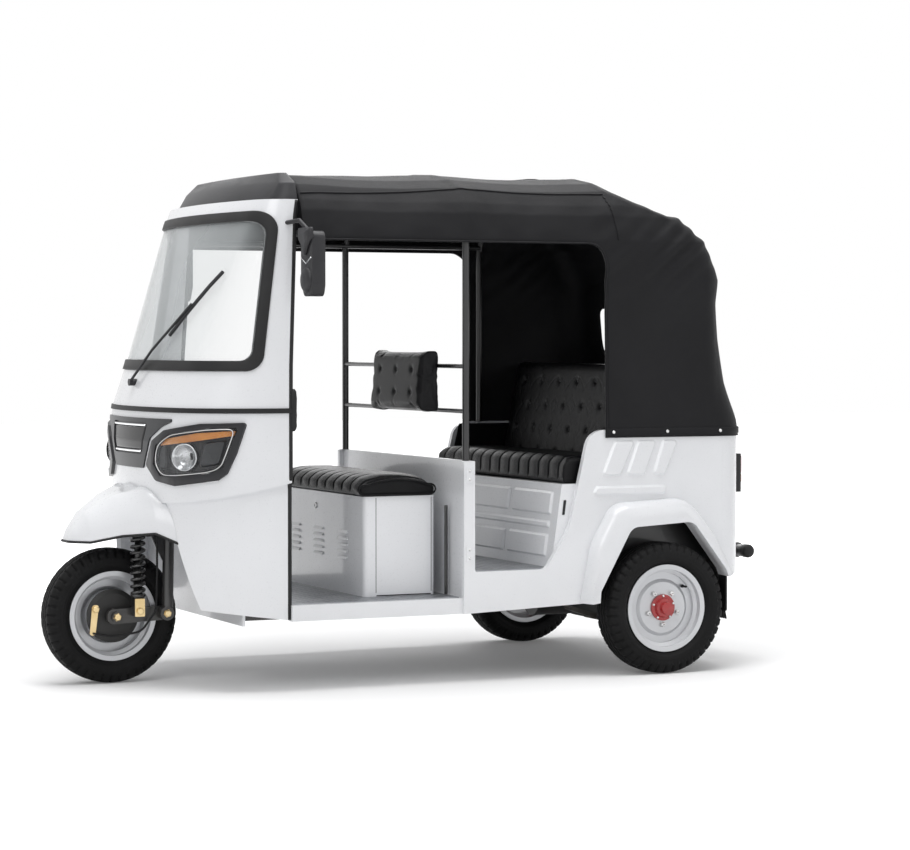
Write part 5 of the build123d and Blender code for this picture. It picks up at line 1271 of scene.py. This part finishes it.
# Tail lenses: name, slot, low and high edge
TAIL_LENSES = (("tail_red_lenses", "red_plastic", 0.748, 0.817),
               ("tail_amber_lenses", "amber_plastic", 0.713, 0.744),
               ("tail_clear_lenses", "lamp_glass", 0.683, 0.709))
POST_PLATES, POST_SCREWS = (0.45, 0.742), (0.463, 0.495, 0.755, 0.787)
LOCK = ((0, 0.012), (0.003, 0.012), (0.0045, 0.0105), (0.0045, 0.0045), (0.002, 0.0035), (0.002, 0))
END_CAP = ((-0.030, 0.0244), (-0.028, 0.0258), (0.002, 0.0266), (0.009, 0.0240), (0.014, 0.015),
           (0.0155, 0))
DIAL = ((-0.001, 0.044), (0.006, 0.044), (0.008, 0.041), (0.004, 0.039), (0.003, 0.0))
# Hand lever: share of its length, radius
LEVER_RADII = ((0, 0.0075), (0.15, 0.006), (0.8, 0.005), (0.95, 0.0068), (1, 0.003))
# Hand lever: station, half width, height
LEVER_POINTS = ((1.640, 0.150, 0.998), (1.662, 0.165, 1.000), (1.664, 0.205, 1.002), (1.648, 0.255, 1.004),
                (1.634, 0.292, 1.005))


def lens_block(y0, y1, z0, z1, x0, x1):
    """Bowed lens: a grid over (y, z) whose middle stands out furthest, closed by its flat back."""
    count = 14
    y, z = np.meshgrid(np.linspace(y0, y1, count), np.linspace(z0, z1, count))
    e = np.maximum(np.abs(2 * (y - y0) / (y1 - y0) - 1), np.abs(2 * (z - z0) / (z1 - z0) - 1))
    x = x0 + (x1 - x0) * np.sqrt(np.clip(1 - e ** 4, 0, 1))
    return np.stack([x, y, z], -1), quads(count, count).tolist() + [rim_of(count, count).tolist()[::-1]]


tail_x = LAMP_LO[0] + 0.0004
for name, slot, z0, z1 in TAIL_LENSES:
    lens = lens_block(LAMP_HI[1] - 0.082, LAMP_HI[1] - 0.008, z0, z1, tail_x, tail_x - 0.007)
    piece(name, both(lens), slot)

# Dark vinyl sheet on the inner face of each quarter panel, above the bench
quarter_dark_outline = ((-0.25, 0.735), (0.335, 0.735), (0.292, 0.922), (-0.25, 0.922))
quarter_dark_sheet = side_plate(quarter_dark_outline, SIDE_Y - 0.0258, SIDE_Y - 0.0228)
piece("quarter_inner_dark_sheets", both(quarter_dark_sheet), "seat_vinyl", smooth=False)

post_face = SIDE_Y + 0.0024
post_outlines = [oblong(0.792, 0.822, z, z + 0.058) for z in POST_PLATES]
post_plates = [side_plate(outline, SIDE_Y + 0.0003, post_face) for outline in post_outlines]
piece("post_plates", both(joined(post_plates)), "body_paint", smooth=False)
screw_at = np.array([(sx(0.807), side * post_face, z) for side in (1, -1) for z in POST_SCREWS])
screws = copies(*dome(0.0055, 0.0035), screw_at, frames_for(screw_at * (0, 1, 0)))
piece("post_screws", screws, "bright_steel")

rod_path = [(sx(0.829), 0.451, z) for z in np.linspace(0.3195, 0.652, 12)]
piece("partition_rod", tube(rod_path, 0.0065, 12, up=(1, 0, 0)), "frame_black")
piece("seat_box_lock", turned(LOCK, (sx(1.158), -0.032, 0.634), (1, 0, 0), 24), "bright_steel")
cap_at = (sx(-0.512), box_corners("rear_bumper")[1][1], 0.433)
piece("bumper_end_caps", both(turned(END_CAP, cap_at, (0, 1, 0), 24)), "black_rubber")

lever_path = through([(sx(s), y, z) for s, y, z in LEVER_POINTS], 40)
lever_size = np.interp(np.linspace(0, 1, 40), *zip(*LEVER_RADII))
hand_lever = capped(carried(lever_path, ring(1.0, 10, 0.7), scale=lever_size))
piece("handlebar_levers", both(hand_lever), "black_plastic", "steering")
POD_LO, POD_HI = box_corners("instrument_pod")
dial_at = ((POD_LO[0] + POD_HI[0]) / 2 - 0.018, 0.0, POD_HI[2])
piece("instrument_dial", turned(DIAL, dial_at, (0, 0, 1), 40), "black_plastic", "steering")

# Side wall below the bench: closing panel and latch slot
closing_outline = ((0.452, 0.4185), (0.410, 0.727), (0.250, 0.727), (0.250, 0.4185))
closing = side_plate(closing_outline, SIDE_Y - 0.0400, SIDE_Y - 0.0225)
piece("bench_side_closings", both(closing), "body_paint", smooth=False)
latch_outline = ((0.402, 0.612), (0.413, 0.612), (0.406, 0.668), (0.395, 0.668))
latch = side_plate(latch_outline, SIDE_Y - 0.0228, SIDE_Y - 0.0212)
piece("bench_latch_slots", both(latch), "black_plastic", finish=LAMP_DARK, smooth=False)

# Seat box seams: two upright lines and one along the foot, drawn as near-black flat strips: real seam lines
# whose dark is painted shade of the grooves and of the foot line
box_seam_shade_lines = [side_plate(oblong(s, s + 0.0022, 0.332, 0.686), 0.4398, 0.4404) for s in (0.884, 1.108)]
box_seam_shade_lines.append(side_plate(oblong(0.886, 1.108, 0.3205, 0.3245), 0.4398, 0.4406))
piece("seat_box_seam_shade_lines", both(joined(box_seam_shade_lines)), "black_plastic", finish=BEZEL_GREY, smooth=False)

# Mudflap fringe: a row of short teeth
FLAP_LO, FLAP_HI = box_corners("mudflaps")
tooth_x = np.linspace(FLAP_LO[0] + 0.003, FLAP_LO[0] - 0.004, 6)
tooth_z = np.linspace(FLAP_LO[2] + 0.004, FLAP_LO[2] - 0.030, 6)
tooth_y = np.arange(FLAP_HI[1] - 0.132, FLAP_HI[1] - 0.006, 0.0165)
tooth_paths = [np.column_stack([tooth_x, np.full(6, y), tooth_z]) for y in tooth_y]
teeth = [strip(path, 0.0105, 0.005, 0.001, up=(1, 0, 0)) for path in tooth_paths]
piece("mudflap_fringe", both(joined(teeth)), "black_rubber", smooth=False)

# Mirrors: hood, oval pad and bright line on the forward face
MIRROR_FACE = sx(1.488)
HOOD = ((0.642, 1.668), (0.640, 1.632), (0.672, 1.604), (0.700, 1.566), (0.728, 1.604), (0.764, 1.632),
        (0.760, 1.668))
OVAL_PAD = ((-0.001, 0.046), (0.005, 0.044), (0.010, 0.037), (0.0135, 0.024), (0.0145, 0.0))
BRIGHT_VEE = ((0.654, 1.562), (0.700, 1.540), (0.748, 1.562))
hood = plate(HOOD, MIRROR_FACE - 0.002, MIRROR_FACE + 0.009, 0.008, 0)
oval_pad = turned(OVAL_PAD, (MIRROR_FACE, 0.702, 1.482), (1, 0, 0), 32)
piece("mirror_covers", both(joined([hood, oval_pad])), "black_plastic")
vee = spaced([(MIRROR_FACE + 0.0012, y, z) for y, z in BRIGHT_VEE], 30)
piece("mirror_bright_lines", both(tube(vee, 0.0026)), "bright_chrome")


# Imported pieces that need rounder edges: name, node, body, bevel width
ROUNDED = (
    ("rounded_seal", "screen_seal", "body", 0.0080), ("rounded_visor", "roof_visor", "body", 0.0100),
    ("rounded_mirrors", "mirrors", "body", 0.0060), ("rounded_pod", "instrument_pod", "steering", 0.0060),
    ("rounded_battery", "battery_pack", "body", 0.0040),
    ("rounded_mudguard", "front_mudguard", "body", 0.0015),
    ("rounded_flares", "wheel_arch_flares", "body", 0.0040),
    ("rounded_bezels", "headlamp_bezels", "body", 0.0030))


def rounded_copy(name, node, body, width):
    """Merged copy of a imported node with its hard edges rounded; it stands in for the node."""
    finish = NODES[node].data.materials[0]
    mesh = merged(NODES[node].data.copy(), 1e-5, math.radians(0.5))
    obj = dressed(name, mesh, finish, body)
    bevel = obj.modifiers.new("edge", "BEVEL")
    bevel.width = width
    bevel.segments = 3
    bevel.limit_method = "ANGLE"
    bevel.angle_limit = math.radians(35)
    bevel.harden_normals = True
    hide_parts(node)


for row in ROUNDED:
    rounded_copy(*row)


# Stage, light and camera

FLOOR_NEAR, FLOOR_FAR, FLOOR_LIFT, FLOOR_HALF = 1.9, 4.5, 0.09, 30.0
AMBIENT = 0.26


def seen_rays(tree):
    """1 for rays from the camera, through glass or off a mirror, 0 for the rest."""
    path = tree.nodes.new("ShaderNodeLightPath")
    seen = math_node(tree, "MAXIMUM", path.outputs["Is Camera Ray"], path.outputs["Is Transmission Ray"])
    return math_node(tree, "MAXIMUM", seen, path.outputs["Is Glossy Ray"])


def backdrop():
    """Pale floor that keeps the shadow; seen directly it is lifted a little towards white."""
    mat, tree, shader = base_material("pale_floor", Roughness=0.9)
    mottle = place_group(tree, "mottle", Scale=0.4, Fine=40.0)
    wired(tree, shader, Base_Color=two_tone(tree, mottle["Tone"], (0.90, 0.90, 0.90), (0.92, 0.92, 0.92)))
    seen = seen_rays(tree)
    place = tree.nodes.new("ShaderNodeTexCoord")
    reach = tree.nodes.new("ShaderNodeVectorMath")
    reach.operation = "LENGTH"
    tree.links.new(place.outputs["Object"], reach.inputs[0])
    far = tree.nodes.new("ShaderNodeMapRange")
    far.interpolation_type = "SMOOTHSTEP"
    far.inputs["From Min"].default_value, far.inputs["From Max"].default_value = FLOOR_NEAR, FLOOR_FAR
    far.inputs["To Min"].default_value, far.inputs["To Max"].default_value = FLOOR_LIFT, 1.0
    tree.links.new(reach.outputs["Value"], far.inputs["Value"])
    wired(tree, shader, Emission_Color=math_node(tree, "MULTIPLY", seen, far.outputs[0]))
    shader.inputs["Emission Strength"].default_value = 1.0
    corners = [(x, y, 0) for x, y in oblong(-FLOOR_HALF, FLOOR_HALF, -FLOOR_HALF, FLOOR_HALF)]
    mesh = bpy.data.meshes.new("floor")
    mesh.from_pydata(corners, [], [(0, 1, 2, 3)])
    mesh.materials.append(mat)
    new_object("floor", mesh)


def surroundings(ambient):
    """World: white where it is seen or mirrored, a soft grey fill for the rest."""
    world = bpy.data.worlds.new("studio")
    bpy.context.scene.world = world
    world.use_nodes = True
    tree = world.node_tree
    fill = tree.nodes["Background"]
    fill.inputs[0].default_value = (ambient, ambient, ambient * 1.02, 1)
    white = tree.nodes.new("ShaderNodeBackground")
    white.inputs[0].default_value = (1, 1, 1, 1)
    seen = seen_rays(tree)
    mix = tree.nodes.new("ShaderNodeMixShader")
    tree.links.new(seen, mix.inputs[0])
    tree.links.new(fill.outputs[0], mix.inputs[1])
    tree.links.new(white.outputs[0], mix.inputs[2])
    tree.links.new(mix.outputs[0], tree.nodes["World Output"].inputs[0])


def soft_lamp(name, place, target, size, power):
    """Square area lamp at a place, facing a target."""
    data = bpy.data.lights.new(name, "AREA")
    data.size = size
    data.energy = power
    obj = new_object(name, data)
    obj.location = place
    obj.rotation_euler = (Vector(target) - Vector(place)).to_track_quat("-Z", "Y").to_euler()


# Lamps: name, place, target, size, watts
SOFT_LAMPS = (("key", (6.4, 5.0, 6.2), (0, 0, 0.9), 4.5, 190),
              ("fill", (-5.0, 6.0, 4.0), (0, 0, 0.9), 4.5, 55),
              ("top", (0.0, 0.5, 7.0), (0, 0, 0.5), 6.0, 500),
              ("behind", (-3.0, -6.5, 4.5), (0, 0, 0.9), 4.5, 120))
CAMERA = {"place": (4.231, 9.716, 1.271), "yaw": -114.877, "pitch": -1.792, "lens": 108.03}


def photo_camera():
    """Camera at the photograph's place, yaw and pitch."""
    yaw, pitch = math.radians(CAMERA["yaw"]), math.radians(CAMERA["pitch"])
    ahead = Vector((math.cos(pitch) * math.cos(yaw), math.cos(pitch) * math.sin(yaw), math.sin(pitch)))
    right = Vector((math.sin(yaw), -math.cos(yaw), 0))
    up = right.cross(ahead)
    data = bpy.data.cameras.new("photo_camera")
    data.lens = CAMERA["lens"]
    data.sensor_width = 36.0
    data.sensor_fit = "HORIZONTAL"
    data.clip_end = 200.0
    obj = new_object("photo_camera", data)
    facing = Matrix((right, up, -ahead)).transposed().to_4x4()
    obj.matrix_world = Matrix.Translation(CAMERA["place"]) @ facing
    bpy.context.scene.camera = obj


backdrop()
surroundings(AMBIENT)
for lamp in SOFT_LAMPS:
    soft_lamp(*lamp)
photo_camera()
bpy.context.scene.view_settings.view_transform = "Standard"
